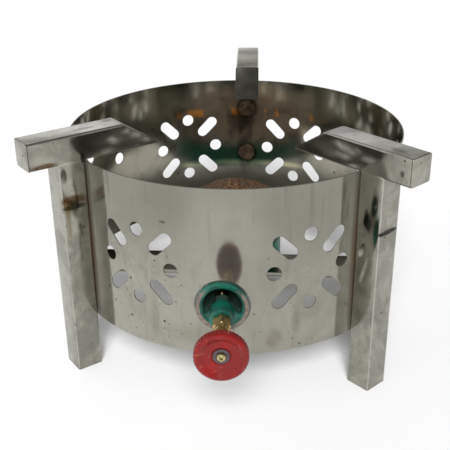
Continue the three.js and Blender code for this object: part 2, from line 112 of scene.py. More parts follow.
# The valve leans. It crosses the mixing tube's axis at the bell's mouth, where distances along both agree.
BELL_CENTRE = VALVE_PIVOT + VALVE_OUT * ((AXIS.x - VALVE_PIVOT.x) / VALVE_OUT.x)
VALVE_ORIGIN = BELL_CENTRE - VALVE_OUT * (AXIS.y - BELL_CENTRE.y)


def outward_frame(origin, out):
    """Turns local +Z into a level outward direction, with local +Y up."""
    side = UP.cross(out).normalized()
    return Matrix.Translation(origin) @ Matrix((side, UP, out)).transposed().to_4x4()


BELL_FRAME = outward_frame(BELL_ORIGIN, BELL_OUT)
VALVE_FRAME = outward_frame(VALVE_ORIGIN, VALVE_OUT)
BURNER_FRAME = Matrix.Translation(AXIS)

# ---- node materials


class Patterns:
    """The node tree of a material or world, and the few kinds of node that its patterns need."""

    def __init__(self, owner):
        owner.use_nodes = True
        self.nodes = owner.node_tree.nodes
        self.links = owner.node_tree.links

    def set(self, node, socket, value):
        if isinstance(value, bpy.types.NodeSocket):
            self.links.new(value, node.inputs[socket])
        else:
            node.inputs[socket].default_value = value

    def add(self, kind, inputs=(), **settings):
        node = self.nodes.new(kind)
        for name, value in settings.items():
            setattr(node, name, value)
        for socket, value in dict(inputs).items():
            self.set(node, socket, value)
        return node

    def split(self, vector):
        parts = self.add("ShaderNodeSeparateXYZ", {0: vector}).outputs
        return parts["X"], parts["Y"], parts["Z"]

    def ramp(self, value, stops):
        node = self.add("ShaderNodeValToRGB", {"Fac": value})
        elements = node.color_ramp.elements
        while len(elements) < len(stops):
            elements.new(0.5)
        for element, (position, colour) in zip(elements, stops):
            element.position = position
            element.color = (*colour, 1)
        return node.outputs["Color"]

    def ranged(self, value, low, high, to_low=0.0, to_high=1.0, steps="SMOOTHSTEP"):
        """to_low where value is low, to_high where it is high, and between them in between."""
        inputs = {"Value": value, "From Min": low, "From Max": high, "To Min": to_low, "To Max": to_high}
        return self.add("ShaderNodeMapRange", inputs, interpolation_type=steps).outputs["Result"]


class Surface(Patterns):
    """A principled material. Its patterns follow object coordinates, in metres."""

    def __init__(self, name, colour, metallic, roughness, **constants):
        self.material = bpy.data.materials.new(name)
        super().__init__(self.material)
        self.shader = self.nodes["Principled BSDF"]
        self.colour = (*colour, 1)
        self.set(self.shader, "Base Color", self.colour)
        self.set(self.shader, "Metallic", metallic)
        self.set(self.shader, "Roughness", roughness)
        for socket, value in constants.items():
            self.set(self.shader, socket.replace("_", " "), value)
        self.place = self.add("ShaderNodeTexCoord").outputs["Object"]

    def moved(self, offset=(0, 0, 0), turn=0.0, stretch=(1, 1, 1)):
        """Coordinates seen from a point, turned about the vertical, then multiplied by stretch."""
        scale = tuple(1 / x for x in stretch)
        inputs = {"Vector": self.place, "Location": tuple(offset), "Rotation": (0, 0, turn), "Scale": scale}
        return self.add("ShaderNodeMapping", inputs, vector_type="TEXTURE").outputs[0]

    def noise(self, scale, detail=4.0, roughness=0.55, where=None, distortion=0.0):
        inputs = {"Vector": self.place if where is None else where, "Scale": scale, "Detail": detail}
        inputs.update({"Roughness": roughness, "Distortion": distortion})
        return self.add("ShaderNodeTexNoise", inputs).outputs["Fac"]

    def cells(self, scale):
        """Distance to the nearest of many scattered points."""
        return self.add("ShaderNodeTexVoronoi", {"Vector": self.place, "Scale": scale}).outputs["Distance"]

    def math(self, operation, a, b=0.0):
        return self.add("ShaderNodeMath", {0: a, 1: b}, operation=operation).outputs[0]

    def product(self, first, *others):
        for other in others:
            first = self.math("MULTIPLY", first, other)
        return first

    def length(self, a, b):
        """How far a point with two coordinates lies from their zero."""
        return self.math("SQRT", self.math("ADD", self.product(a, a), self.product(b, b)))

    def band(self, value, rise, full, fade, end):
        """1 from full to fade, and 0 below rise and above end."""
        return self.product(self.ranged(value, rise, full), self.ranged(value, fade, end, 1.0, 0.0))

    def mix(self, share, a, b):
        node = self.add("ShaderNodeMix", data_type="RGBA")
        for index, value in ((0, share), (6, a), (7, b)):
            if isinstance(value, tuple) and len(value) == 3:
                value = (*value, 1)
            self.set(node, index, value)
        return node.outputs[2]

    def spot(self, centre, size, turn=0.0, edge=0.35):
        """1 inside an ellipsoid, falling to 0 at its surface."""
        seen = self.moved(centre, turn, tuple(1 / s for s in size))
        ball = self.add("ShaderNodeTexGradient", {"Vector": seen}, gradient_type="SPHERICAL")
        return self.ranged(ball.outputs["Fac"], 0.0, edge)

    def height(self):
        return self.split(self.place)[2]

    def stain(self, share, colour):
        """Lays a colour over what the surface already has, where share is above 0."""
        self.colour = self.mix(share, self.colour, colour)
        self.set(self.shader, "Base Color", self.colour)

    def rough(self, value):
        self.set(self.shader, "Roughness", value)

    def bump(self, *layers):
        """Adds bump from (height socket, distance in metres) layers."""
        normal = None
        for value, distance in layers:
            node = self.add("ShaderNodeBump", {"Height": value, "Distance": distance, "Strength": 1.0})
            if normal is not None:
                self.set(node, "Normal", normal)
            normal = node.outputs["Normal"]
        self.set(self.shader, "Normal", normal)


STEEL = (0.335, 0.327, 0.277)
LENGTHWISE_GRAIN = (1, 1, 0.06)
SPECK_CELLS = ((125, 0.115), (60, 0.10))  # cells in a metre, size of a speck as a share of its cell


def brushed_steel(name, colour=STEEL, roughness=0.08, stretch=LENGTHWISE_GRAIN, smudges=0.5, haze=0.03):
    """Mill-polished stainless sheet: a fine grain, smears, water marks, scratches, specks and slight waves.

    haze is the share of the surface that scatters light as paint does, not as metal does.
    """
    s = Surface(name, colour, 1.0 - haze, roughness)
    grain = s.noise(900, 2, 0.6, s.moved(stretch=stretch))
    waves = s.noise(14, 2, 0.5)
    smears = s.noise(22, 6, 0.65, distortion=0.6)
    runs = s.noise(60, 5, 0.7, s.moved(stretch=(1, 1, 0.18)))
    s.stain(s.ranged(smears, 0.46, 0.70, 0, 0.5 * smudges), (0.18, 0.17, 0.14))
    s.stain(s.ranged(runs, 0.52, 0.75, 0, 0.6 * smudges), (0.20, 0.19, 0.155))
    s.stain(s.ranged(smears, 0.30, 0.42, 0.35 * smudges, 0), (0.46, 0.45, 0.39))
    scratches = s.math("ABSOLUTE", s.math("SUBTRACT", s.noise(7, 1, 0.4), 0.45))
    s.stain(s.ranged(scratches, 0.0008, 0.0024, 0.3 * smudges, 0), (0.15, 0.14, 0.115))
    for scale, size in SPECK_CELLS:
        s.stain(s.ranged(s.cells(scale), size * 0.6, size, min(1, 1.1 * smudges), 0), (0.05, 0.042, 0.034))
    worn = s.math("ADD", s.product(smears, 0.14), s.product(grain, 0.05))
    s.rough(s.math("ADD", worn, roughness - 0.06))
    s.bump((waves, 1.0 * MM), (grain, 0.005 * MM))
    return s


# ---- mesh helpers


def new_piece(name, node, builder, surface, body):
    """Turns a bmesh into a piece that rides on a body and stands for a CAD node."""
    mesh = bpy.data.meshes.new(name)
    builder.to_mesh(mesh)
    builder.free()
    piece = bpy.data.objects.new(name, mesh)
    bpy.context.scene.collection.objects.link(piece)
    for each in surface if isinstance(surface, tuple) else (surface,):
        mesh.materials.append(each.material)
    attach(piece, body)
    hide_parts(node)
    return piece


def smooth(piece, angle=35):
    """Smooth shading, with edges sharper than the angle kept crisp."""
    mesh = piece.data
    mesh.polygons.foreach_set("use_smooth", [True] * len(mesh.polygons))
    builder = bmesh.new()
    builder.from_mesh(mesh)
    for edge in builder.edges:
        edge.smooth = edge.is_manifold and edge.calc_face_angle(0) < radians(angle)
    builder.to_mesh(mesh)
    builder.free()


def apply_modifiers(piece):
    mesh = bpy.data.meshes.new_from_object(piece.evaluated_get(bpy.context.evaluated_depsgraph_get()))
    old = piece.data
    piece.modifiers.clear()
    piece.data = mesh
    bpy.data.meshes.remove(old)


def bevelled(piece, width, segments):
    """Rounds the edges that are sharper than 40 degrees."""
    modifier = piece.modifiers.new("edges", "BEVEL")
    modifier.width = width
    modifier.segments = segments
    modifier.limit_method = "ANGLE"
    modifier.angle_limit = radians(40)
    apply_modifiers(piece)


def filleted(corners, steps=4):
    """An outline of (radius, height[, fillet]) corners, with an arc for each corner that has a fillet."""
    points = []
    count = len(corners)
    for i, corner in enumerate(corners):
        here = Vector(corner[:2])
        radius = corner[2] if len(corner) > 2 else 0
        if not radius:
            points.append(here)
            continue
        before = Vector(corners[(i - 1) % count][:2]) - here
        after = Vector(corners[(i + 1) % count][:2]) - here
        half = before.angle(after) / 2
        cut = min(radius / tan(half), before.length * 0.49, after.length * 0.49)
        radius = cut * tan(half)
        centre = here + (before.normalized() + after.normalized()).normalized() * (radius / sin(half))
        start = here + before.normalized() * cut - centre
        end = here + after.normalized() * cut - centre
        for k in range(steps + 1):
            points.append(centre + start.lerp(end, k / steps).normalized() * radius)
    return points


def lathed(corners, turns=64, steps=3, wobble=None):
    """A closed outline of (radius, height[, fillet]) corners in millimetres, turned about local Z.

    wobble(angle, point) gives a point, in metres, another radius.
    """
    outline = [(p.x * MM, p.y * MM) for p in filleted(corners, steps)]
    builder = bmesh.new()
    rings = []
    for k in range(turns):
        angle = FULL_TURN * k / turns
        ring = []
        for point in outline:
            radius = wobble(angle, point) if wobble else point[0]
            ring.append(builder.verts.new((radius * cos(angle), radius * sin(angle), point[1])))
        rings.append(ring)
    for here, after in zip(rings, rings[1:] + rings[:1]):
        for i in range(len(outline)):
            j = (i + 1) % len(outline)
            builder.faces.new((here[i], after[i], after[j], here[j]))
    bmesh.ops.remove_doubles(builder, verts=builder.verts, dist=MERGE)
    return builder


def bridge(builder, row, next_row, closed=True):
    """The quads between two rows of corners."""
    faces = []
    for i in range(len(row) if closed else len(row) - 1):
        j = (i + 1) % len(row)
        faces.append(builder.faces.new((row[i], row[j], next_row[j], next_row[i])))
    return faces


def prism(outline, low, high, top_outline=None):
    """A closed solid from an outline of (x, y) points at one height to the same or another at a second."""
    builder = bmesh.new()
    bottom = [builder.verts.new((x, y, low)) for x, y in outline]
    top = [builder.verts.new((x, y, high)) for x, y in top_outline or outline]
    bridge(builder, bottom, top)
    builder.faces.new(bottom[::-1])
    builder.faces.new(top)
    return builder


def finished(builder, place):
    """Turns the faces of closed solids outwards and moves them to their place."""
    bmesh.ops.recalc_face_normals(builder, faces=builder.faces)
    builder.transform(place)
    return builder


def joined(builders):
    """One bmesh of several closed solids, which stay separate inside it."""
    whole = bmesh.new()
    for builder in builders:
        bmesh.ops.recalc_face_normals(builder, faces=builder.faces)
        mesh = bpy.data.meshes.new("part")
        builder.to_mesh(mesh)
        builder.free()
        whole.from_mesh(mesh)
        bpy.data.meshes.remove(mesh)
    return whole


def joined_piece(name, node, place, surface, body, slot, *builders, angle=30):
    whole = joined(builders)
    whole.transform(place)
    piece = new_piece(name, node, whole, surface, body)
    smooth(piece, angle)
    return piece


def steel_piece(name, node, builder, place, surface, bevel=0.0, segments=2):
    """A piece of the stand's steel tube, plate or bar, its edges rounded by a bevel in metres."""
    piece = new_piece(name, node, finished(builder, place), surface, "stand")
    if bevel:
        bevelled(piece, bevel, segments)
    smooth(piece)


def cut_away(piece, cutters, crossing=False):
    """Takes closed solids out of a piece. crossing says that they run through each other."""
    mesh = bpy.data.meshes.new("cutters")
    cutters.to_mesh(mesh)
    cutters.free()
    tool = bpy.data.objects.new("cutters", mesh)
    bpy.context.scene.collection.objects.link(tool)
    boolean = piece.modifiers.new("cut", "BOOLEAN")
    boolean.object = tool
    boolean.solver = "EXACT"
    boolean.use_self = crossing
    bpy.context.view_layer.update()
    apply_modifiers(piece)
    bpy.data.objects.remove(tool)
    smooth(piece, 30)


def rounded_square(width, corner):
    edge = width / 2
    quarters = ((edge, edge), (-edge, edge), (-edge, -edge), (edge, -edge))
    return filleted([(x, y, corner) for x, y in quarters], 6)


def circle_loop(centre, radius, steps):
    angles = [FULL_TURN * i / steps for i in range(steps)]
    return [Vector((centre[0] + radius * cos(a), centre[1] + radius * sin(a))) for a in angles]


# ---- shell

# Azimuth in degrees and height in millimetres of the middle of each flower of vents.
FLOWERS = ((23.5, 145.5), (69, 144), (114.3, 147), (159.8, 155.3), (242.3, 145.5), (297.3, 145.5))
VENT_RING = 36.1 * MM
VENT_ROUND = 7.2 * MM
SLOT_LENGTH, SLOT_WIDTH = 30 * MM, 13 * MM
BELL_HOLE = 26.7 * MM
BELL_AZIMUTH = 270
SEAM_AZIMUTH = radians(91.0)
SPRING_BACK = 0.25  # how much flatter the rolled sheet lies beside its seam
SPRING_REACH = radians(28)
EDGE = 0.22 * MM  # deburred edge of the sheet
SHEET_STEP = 7 * MM
VENT_CLEARANCE = 2.5 * MM  # the wall has no other corner this near to an opening
OUTSIDE, INSIDE, CUT_EDGE = range(3)  # material slots of the shell


def slot_loop(centre, length, width, lean, steps=12):
    radius = width / 2
    reach = length / 2 - radius
    along = Vector((cos(lean), sin(lean)))
    points = []
    for end in (0, 1):
        tip = Vector(centre) + along * (reach if end == 0 else -reach)
        for i in range(steps + 1):
            angle = lean - pi / 2 + end * pi + pi * i / steps
            points.append(tip + Vector((cos(angle), sin(angle))) * radius)
    return points


def opening_loops(grow):
    """The outline of every opening on the unrolled sheet, each made larger by the same margin."""

    def unrolled(azimuth):
        return ((radians(azimuth) - SEAM_AZIMUTH) % FULL_TURN) * SHELL_RADIUS

    loops = []
    for azimuth, height in FLOWERS:
        for i in range(8):
            angle = i * pi / 4
            along, up = VENT_RING * cos(angle), VENT_RING * sin(angle)
            centre = (unrolled(azimuth) + along, height * MM + up)
            if i % 2:
                loops.append(slot_loop(centre, SLOT_LENGTH + 2 * grow, SLOT_WIDTH + 2 * grow, angle))
            else:
                loops.append(circle_loop(centre, VENT_ROUND + grow, 28))
    loops.append(circle_loop((unrolled(BELL_AZIMUTH), TUBE_HEIGHT), BELL_HOLE + grow, 72))
    return loops


def inside(point, loop):
    hit = False
    for a, b in zip(loop, loop[1:] + loop[:1]):
        if (a.y > point.y) != (b.y > point.y):
            if point.x < (b.x - a.x) * (point.y - a.y) / (b.y - a.y) + a.x:
                hit = not hit
    return hit


def sheet_triangles(loops, length, low, high):
    """Corners and triangles of the unrolled sheet around its openings."""
    columns = round(length / SHEET_STEP)
    rows = round((high - low) / SHEET_STEP)
    points = [Vector((length * i / columns, low)) for i in range(columns)]
    points += [Vector((length, low + (high - low) * j / rows)) for j in range(rows)]
    points += [Vector((length * (1 - i / columns), high)) for i in range(columns)]
    points += [Vector((0, high - (high - low) * j / rows)) for j in range(rows)]
    edges = [(i, (i + 1) % len(points)) for i in range(len(points))]
    for loop in loops:
        first = len(points)
        points += loop
        edges += [(first + i, first + (i + 1) % len(loop)) for i in range(len(loop))]
    boxes = []
    for loop in loops:
        across, upward = [p.x for p in loop], [p.y for p in loop]
        boxes.append((min(across), max(across), min(upward), max(upward), loop))

    def near(point, clear):
        """Openings whose box, widened, holds the point."""
        return [
            loop
            for left, right, bottom, top, loop in boxes
            if left - clear < point.x < right + clear and bottom - clear < point.y < top + clear
        ]

    def taken(point):
        return any(
            inside(point, loop) or min((point - p).length for p in loop) < VENT_CLEARANCE
            for loop in near(point, VENT_CLEARANCE)
        )

    for i in range(1, columns):
        for j in range(1, rows):
            point = Vector((length * i / columns, low + (high - low) * j / rows))
            if not taken(point):
                points.append(point)
    corners, _, triangles, *_ = delaunay_2d_cdt(points, edges, [], 1, 1e-7)
    kept = []
    for triangle in triangles:
        centre = sum((corners[i] for i in triangle), Vector((0, 0))) / 3
        if not any(inside(centre, loop) for loop in near(centre, 0)):
            kept.append(triangle)
    return corners, kept


def inward_normal(spot):
    """The inside wall's normal, turned a little as the sheet flattens beside its seam."""
    azimuth = atan2(spot.y - AXIS.y, spot.x - AXIS.x)
    away = (azimuth - SEAM_AZIMUTH + pi) % FULL_TURN - pi
    azimuth -= SPRING_BACK * away * exp(-((away / SPRING_REACH) ** 2))
    return (-cos(azimuth), -sin(azimuth), 0)


def wall_normals(mesh):
    """Normals of a perfectly round wall, and flat ones on the narrow cut edges."""
    normals = []
    for face in mesh.polygons:
        centre = face.center.xy - AXIS.xy
        facing = abs(face.normal.xy.normalized().dot(centre.normalized()))
        on_wall = abs(face.normal.z) < 0.02 and facing > 0.999
        outside = centre.length > SHELL_RADIUS - SHELL_WALL / 2
        for corner in face.vertices:
            spot = mesh.vertices[corner].co
            if not on_wall:
                normals.append(tuple(face.normal))
            elif outside:
                normals.append(tuple(level(spot - AXIS)))
            else:
                normals.append(inward_normal(spot))
    return normals


def build_shell(surfaces):
    """The rolled sheet with its vents, its edges slightly rounded, closed by a seam behind the rear leg."""
    length = FULL_TURN * SHELL_RADIUS
    low, high = SHELL_LOW.z, SHELL_HIGH.z
    wide_loops, true_loops = opening_loops(EDGE), opening_loops(0)
    builder = bmesh.new()

    def rolled(point, depth):
        angle = SEAM_AZIMUTH + point[0] / SHELL_RADIUS
        radius = SHELL_RADIUS - depth
        return (AXIS.x + radius * cos(angle), AXIS.y + radius * sin(angle), point[1])

    def ribbon(wide, true, closed):
        """A cut edge through the sheet's thickness, from one face of the wall to the other."""
        rails = ((wide, 0), (true, EDGE), (true, SHELL_WALL - EDGE), (wide, SHELL_WALL))
        lines = [[builder.verts.new(rolled(p, depth)) for p in rail] for rail, depth in rails]
        for line, next_line in zip(lines, lines[1:]):
            for face in bridge(builder, line, next_line, closed):
                face.material_index = CUT_EDGE

    points, triangles = sheet_triangles(wide_loops, length, low + EDGE, high - EDGE)
    for depth, material in ((0, OUTSIDE), (SHELL_WALL, INSIDE)):
        corners = [builder.verts.new(rolled(p, depth)) for p in points]
        for triangle in triangles:
            order = triangle if material == OUTSIDE else reversed(triangle)
            builder.faces.new([corners[i] for i in order]).material_index = material
    for wide, true in zip(wide_loops, true_loops):
        ribbon(wide, true, True)
    columns = round(length / SHEET_STEP)
    for rim, inset in ((low, EDGE), (high, -EDGE)):
        edge = [(length * i / columns, rim) for i in range(columns + 1)]
        ribbon([(along, z + inset) for along, z in edge], edge, False)
    bmesh.ops.remove_doubles(builder, verts=builder.verts, dist=0.01 * MM)
    bmesh.ops.recalc_face_normals(builder, faces=builder.faces)
    piece = new_piece("shell_sheet", "shell", builder, surfaces, "stand")
    piece.data.polygons.foreach_set("use_smooth", [True] * len(piece.data.polygons))
    piece.data.normals_split_custom_set(wall_normals(piece.data))


# Broad uneven patches of the polish: azimuth in degrees, height, size across, inwards and up, share, colour.
POLISH = (
    (271, 182, (58, 30, 78), 0.30, (0.43, 0.425, 0.375)),
    (252, 214, (36, 30, 34), 0.55, (0.20, 0.195, 0.16)),
    (292, 208, (48, 35, 40), 0.50, (0.21, 0.205, 0.17)),
    (262, 78, (40, 20, 16), 0.35, (0.22, 0.20, 0.16)),
    (286, 74, (12, 12, 16), 0.65, (0.17, 0.15, 0.125)),
    (293, 90, (7, 10, 22), 0.50, (0.19, 0.175, 0.15)),
    (248, 92, (6, 10, 34), 0.45, (0.20, 0.19, 0.16)),
    (252, 195, (4.5, 6, 2.2), 0.90, (0.04, 0.035, 0.03)),
)


def wall_spot(azimuth, height):
    """A point on the shell's wall."""
    return AXIS + Vector((cos(azimuth), sin(azimuth), 0)) * SHELL_RADIUS + UP * height


def shell_outside():
    """Steel that is smeared, darker and streaked over its upper part, and heat-tinted where the legs are
    welded.
    """
    s = brushed_steel("steel_shell_outside", stretch=(1, 1, 0.05), smudges=0.95, haze=0.11)
    dulled = s.noise(7, 6, 0.68, distortion=0.8)
    s.stain(s.ranged(dulled, 0.46, 0.62, 0.0, 0.45), (0.235, 0.228, 0.19))
    s.stain(s.ranged(dulled, 0.32, 0.42, 0.45, 0.0), (0.44, 0.435, 0.385))
    # Darker over the upper part of the wall, its lower border made uneven by noise.
    ragged_top = s.product(s.noise(9, 5, 0.65, s.moved(stretch=(1, 1, 0.35)), distortion=0.5), 60 * MM)
    upper = s.ranged(s.math("ADD", s.height(), ragged_top), 150 * MM, 225 * MM)
    s.stain(s.product(upper, 0.8), (0.23, 0.225, 0.187))
    drips = s.noise(130, 3, 0.6, s.moved(stretch=(1, 1, 0.07)))
    s.stain(s.product(upper, s.ranged(drips, 0.55, 0.7, 0, 0.55)), (0.15, 0.145, 0.12))
    cloudy = s.ranged(s.noise(40, 4, 0.6), 0.3, 0.6, 0.5, 1.0)
    for azimuth, height, size, share, colour in POLISH:
        turn = radians(azimuth)
        patch = s.spot(wall_spot(turn, height * MM), [x * MM for x in size], turn + pi / 2, 0.7)
        s.stain(s.product(patch, cloudy, share), colour)
    dull = 0.0
    for side in SIDES:
        seat = AXIS + level(LEG_AXIS[side] - AXIS) * SHELL_RADIUS + UP * 150 * MM
        tinted = s.spot(seat, (19 * MM, 19 * MM, 130 * MM), edge=0.5)
        s.stain(s.product(tinted, 0.8), (0.24, 0.145, 0.075))
        dull = s.math("ADD", dull, s.spot(seat, (46 * MM, 46 * MM, 190 * MM), edge=0.7))
    s.set(s.shader, "Metallic", s.ranged(dull, 0.0, 1.0, 0.89, 0.66))
    return s


HEAT_BROWNS = (
    (0.30, (0.24, 0.15, 0.07)),
    (0.48, (0.38, 0.235, 0.10)),
    (0.60, (0.18, 0.125, 0.10)),
    (0.75, (0.40, 0.27, 0.11)),
)


def shell_inside():
    """Steel browned by the flame, most of all behind the burner and around the welds. Darker towards the
    bottom as painted shade, with a row of painted orange glints and a painted pale reflection band behind the
    burner.
    """
    s = brushed_steel("steel_shell_inside", (0.33, 0.315, 0.255), roughness=0.10, smudges=1.0, haze=0.0)

    def back(height):
        return AXIS + Vector((0, SHELL_RADIUS, height * MM))

    patches = s.noise(18, 5, 0.6, distortion=0.8)
    flame = s.spot(back(190), (130 * MM, 90 * MM, 62 * MM), edge=0.6)
    browned = s.product(flame, s.ranged(patches, 0.3, 0.6, 0.15, 0.55))
    s.stain(browned, s.ramp(patches, HEAT_BROWNS))
    s.set(s.shader, "Metallic", s.ranged(browned, 0.0, 0.5, 1.0, 0.85))
    # Painted shade: the lower inner wall is darkened to stand for its reflection of the shaded floor inside
    # the shell.
    s.stain(s.ranged(s.height(), 85 * MM, 135 * MM, 0.8, 0.0), (0.15, 0.14, 0.11))
    # Painted highlights: a row of orange glints, standing for reflections of the lit edge of the burner cap.
    glint_band = s.band(s.height(), 184 * MM, 189 * MM, 193 * MM, 199 * MM)
    glint_specks = s.ranged(s.noise(34, 2, 0.5, s.moved(stretch=(1, 1, 0.5))), 0.50, 0.56)
    s.stain(s.product(glint_band, glint_specks, flame), (0.95, 0.42, 0.09))
    # Painted reflection: a pale yellowish band behind the burner, standing for the wall's reflection of the
    # lit floor under it.
    pale = s.band(s.height(), 118 * MM, 122 * MM, 124 * MM, 128 * MM)
    behind = s.spot(back(123), (110 * MM, 60 * MM, 30 * MM), edge=0.5)
    s.stain(s.product(pale, behind, 0.7), (0.85, 0.78, 0.52))
    for side in SIDES:
        away = level(LEG_AXIS[side] - AXIS) * SHELL_RADIUS
        for row in WELD_ROWS:
            weld = AXIS + away + UP * middle(f"leg_weld_{side}_{row}").z
            burnt = s.spot(weld, (17 * MM, 17 * MM, 17 * MM), edge=0.4)
            s.stain(s.product(burnt, 0.9), (0.075, 0.045, 0.028))
    seam = s.spot(back(165), (12 * MM, 30 * MM, 80 * MM), edge=0.5)
    s.stain(s.product(seam, s.ranged(s.noise(80, 5, 0.7), 0.35, 0.6, 0.25, 0.85)), (0.12, 0.10, 0.075))
    return s


def cut_edge():
    """The punched and sheared edges of the sheet, dull and slightly dark."""
    s = Surface("steel_cut_edge", (0.20, 0.19, 0.16), 0.8, 0.5)
    tears = s.noise(700, 4, 0.6)
    s.stain(s.ranged(tears, 0.45, 0.65, 0, 0.6), (0.11, 0.10, 0.085))
    s.rough(s.ranged(tears, 0.3, 0.7, 0.4, 0.6))
    s.bump((tears, 0.02 * MM))
    return s


# ---- legs and arms

# Old marks on the tubes: side, millimetres outwards, sideways and up from the foot of the leg, size, colour.
MARKS = (
    ("right", (13.8, -2, 177), (4, 20, 3.4), (0.012, 0.012, 0.011)),
    ("right", (6, -13.8, 204), (5, 4, 14), (0.05, 0.065, 0.05)),
    ("right", (9, -13.8, 178), (3.5, 4, 18), (0.03, 0.10, 0.06)),
    ("right", (-3, -13.8, 190), (3.5, 4, 12), (0.09, 0.09, 0.075)),
    ("right", (20, -3, 260.4), (9, 6, 3), (0.12, 0.115, 0.10)),
    ("right", (33, -13.8, 244), (3, 3, 4), (0.09, 0.085, 0.07)),
    ("left", (2, 13.8, 195), (18, 5, 7), (0.15, 0.10, 0.055)),
    ("left", (2, 13.8, 188), (17, 4, 4), (0.07, 0.07, 0.045)),
    ("left", (-13.8, 13.8, 120), (2.2, 2.2, 75), (0.22, 0.10, 0.045)),
    ("right", (-13.8, -13.8, 130), (2.2, 2.2, 80), (0.16, 0.08, 0.04)),
    ("left", (-12, 13.8, 236), (3, 3, 7), (0.06, 0.05, 0.04)),
    ("left", (9, 13.8, 222), (4, 3, 10), (0.08, 0.075, 0.06)),
    ("left", (27, 13.8, 235.5), (15, 4, 4), (0.13, 0.085, 0.05)),
    ("left", (-20, 2, 260.4), (16, 4, 3), (0.10, 0.095, 0.08)),
    ("left", (-50, -6, 260.4), (7, 4, 3), (0.07, 0.06, 0.05)),
    ("rear", (-13.8, 0, 236), (4, 18, 4), (0.08, 0.07, 0.06)),
)


def tube_surface(side):
    """Clouded and marked steel, lighter along the corners of the leg and of the arm as a painted highlight.
    """
    s = brushed_steel("steel_tube_" + side, (0.36, 0.352, 0.30), roughness=0.09, smudges=1.0)
    clouds = s.noise(13, 6, 0.7, distortion=1.0)
    s.stain(s.ranged(clouds, 0.44, 0.62, 0.0, 0.6), (0.15, 0.145, 0.12))
    s.stain(s.ranged(clouds, 0.30, 0.40, 0.5, 0.0), (0.50, 0.49, 0.44))
    out = ARM_OUT[side]
    turn = atan2(out.y, out.x)
    highlight_breaks = s.ranged(s.noise(90, 4, 0.7), 0.36, 0.5, 0.25, 0.9)
    from_arm = s.split(s.moved(LEG_AXIS[side] + UP * (ARM_LOW + ARM_HIGH) / 2, turn))
    outwards, sideways, upwards = (s.math("ABSOLUTE", distance) for distance in from_arm)
    # Painted highlight: a light line along the rounded corners of the tube, broken up by noise.
    corner = TUBE_WIDTH / 2 - 0.9 * MM
    on_arm = s.ranged(s.height(), ARM_LOW - 0.1 * MM, ARM_LOW)
    on_leg = s.math("SUBTRACT", 1.0, on_arm)
    for a, b, where in ((outwards, sideways, on_leg), (sideways, upwards, on_arm)):
        near = s.ranged(s.math("MINIMUM", a, b), corner - 0.5 * MM, corner)
        s.stain(s.product(near, where, highlight_breaks), (0.45, 0.44, 0.40))
    ragged = s.ranged(s.noise(150, 4, 0.7), 0.3, 0.5, 0.55, 1.0)
    for owner, (a, b, c), size, colour in MARKS:
        if owner == side:
            centre = LEG_AXIS[side] + (out * a + UP.cross(out) * b + UP * c) * MM
            s.stain(s.product(s.spot(centre, [x * MM for x in size], turn, 0.5), ragged), colour)
    return s


def upright_frame(side):
    """Local +X along the arm outwards, +Z up, about the leg's axis."""
    out = ARM_OUT[side]
    return Matrix.Translation(LEG_AXIS[side]) @ Matrix((out, UP.cross(out), UP)).transposed().to_4x4()


def build_leg(side, surface):
    place = upright_frame(side)
    outline = rounded_square(TUBE_WIDTH, TUBE_CORNER)
    tube = prism(outline, PLATE, ARM_LOW + TUBE_CORNER)
    steel_piece("leg_tube_" + side, "leg_" + side, tube, place, surface)
    steel_piece("foot_cap_" + side, "foot_plate_" + side, prism(outline, 0, PLATE), place, surface, 0.4 * MM)


def build_arm(side, surface):
    """The arm's tube, the plate on its slanted inner end and the one on its square outer end."""
    place = upright_frame(side)
    out = ARM_OUT[side]
    tip = span("arm_tip_plate_" + side, LEG_AXIS[side], out)[0]
    end = span("arm_end_plate_" + side, LEG_AXIS[side], out)[1]
    corners = [v.co for v in frame["nodes"]["arm_tip_plate_" + side].data.vertices]
    upper = min((co - LEG_AXIS[side]).dot(out) for co in corners if co.z > ARM_HIGH - TUBE_CORNER)
    along = Matrix.Translation(UP * (ARM_LOW + ARM_HIGH) / 2) @ Matrix.Rotation(pi / 2, 4, "Y")
    outline = rounded_square(TUBE_WIDTH, TUBE_CORNER)
    slope = Vector((ARM_LOW - ARM_HIGH, 0, upper - tip)).normalized()
    foot = Vector((tip, 0, ARM_LOW))

    def bar(low, high):
        builder = prism(outline, low, high)
        builder.transform(along)
        return builder

    def cut(builder, depth, keep_under):
        """Cuts a bar along the slanted end, at a depth behind it."""
        made = bmesh.ops.bisect_plane(
            builder,
            geom=builder.verts[:] + builder.edges[:] + builder.faces[:],
            plane_co=foot - slope * depth,
            plane_no=slope,
            clear_outer=keep_under,
            clear_inner=not keep_under,
        )
        edges = [g for g in made["geom_cut"] if isinstance(g, bmesh.types.BMEdge)]
        bmesh.ops.edgeloop_fill(builder, edges=edges)
        return builder

    tube = cut(bar(tip, end - PLATE), PLATE, True)
    steel_piece("arm_tube_" + side, "arm_" + side, tube, place, surface)
    plate = cut(cut(bar(tip, end - PLATE), 0, True), PLATE, False)
    steel_piece("arm_bevel_" + side, "arm_tip_plate_" + side, plate, place, surface, 0.5 * MM)
    plate = bar(end - PLATE, end)
    steel_piece("arm_cap_" + side, "arm_end_plate_" + side, plate, place, surface, 0.7 * MM, 3)


# ---- plug welds

WELD_ROWS = ("upper", "lower")
WELD_RADIUS = 10.6
# Distance from the weld's middle and height above the wall of each frozen ripple's corner.
WELD_RINGS = ((10.2, 1.0), (9.2, 1.5), (7.6, 1.1), (6.2, 1.7), (4.6, 1.0), (3.0, 1.8), (1.2, 1.2))


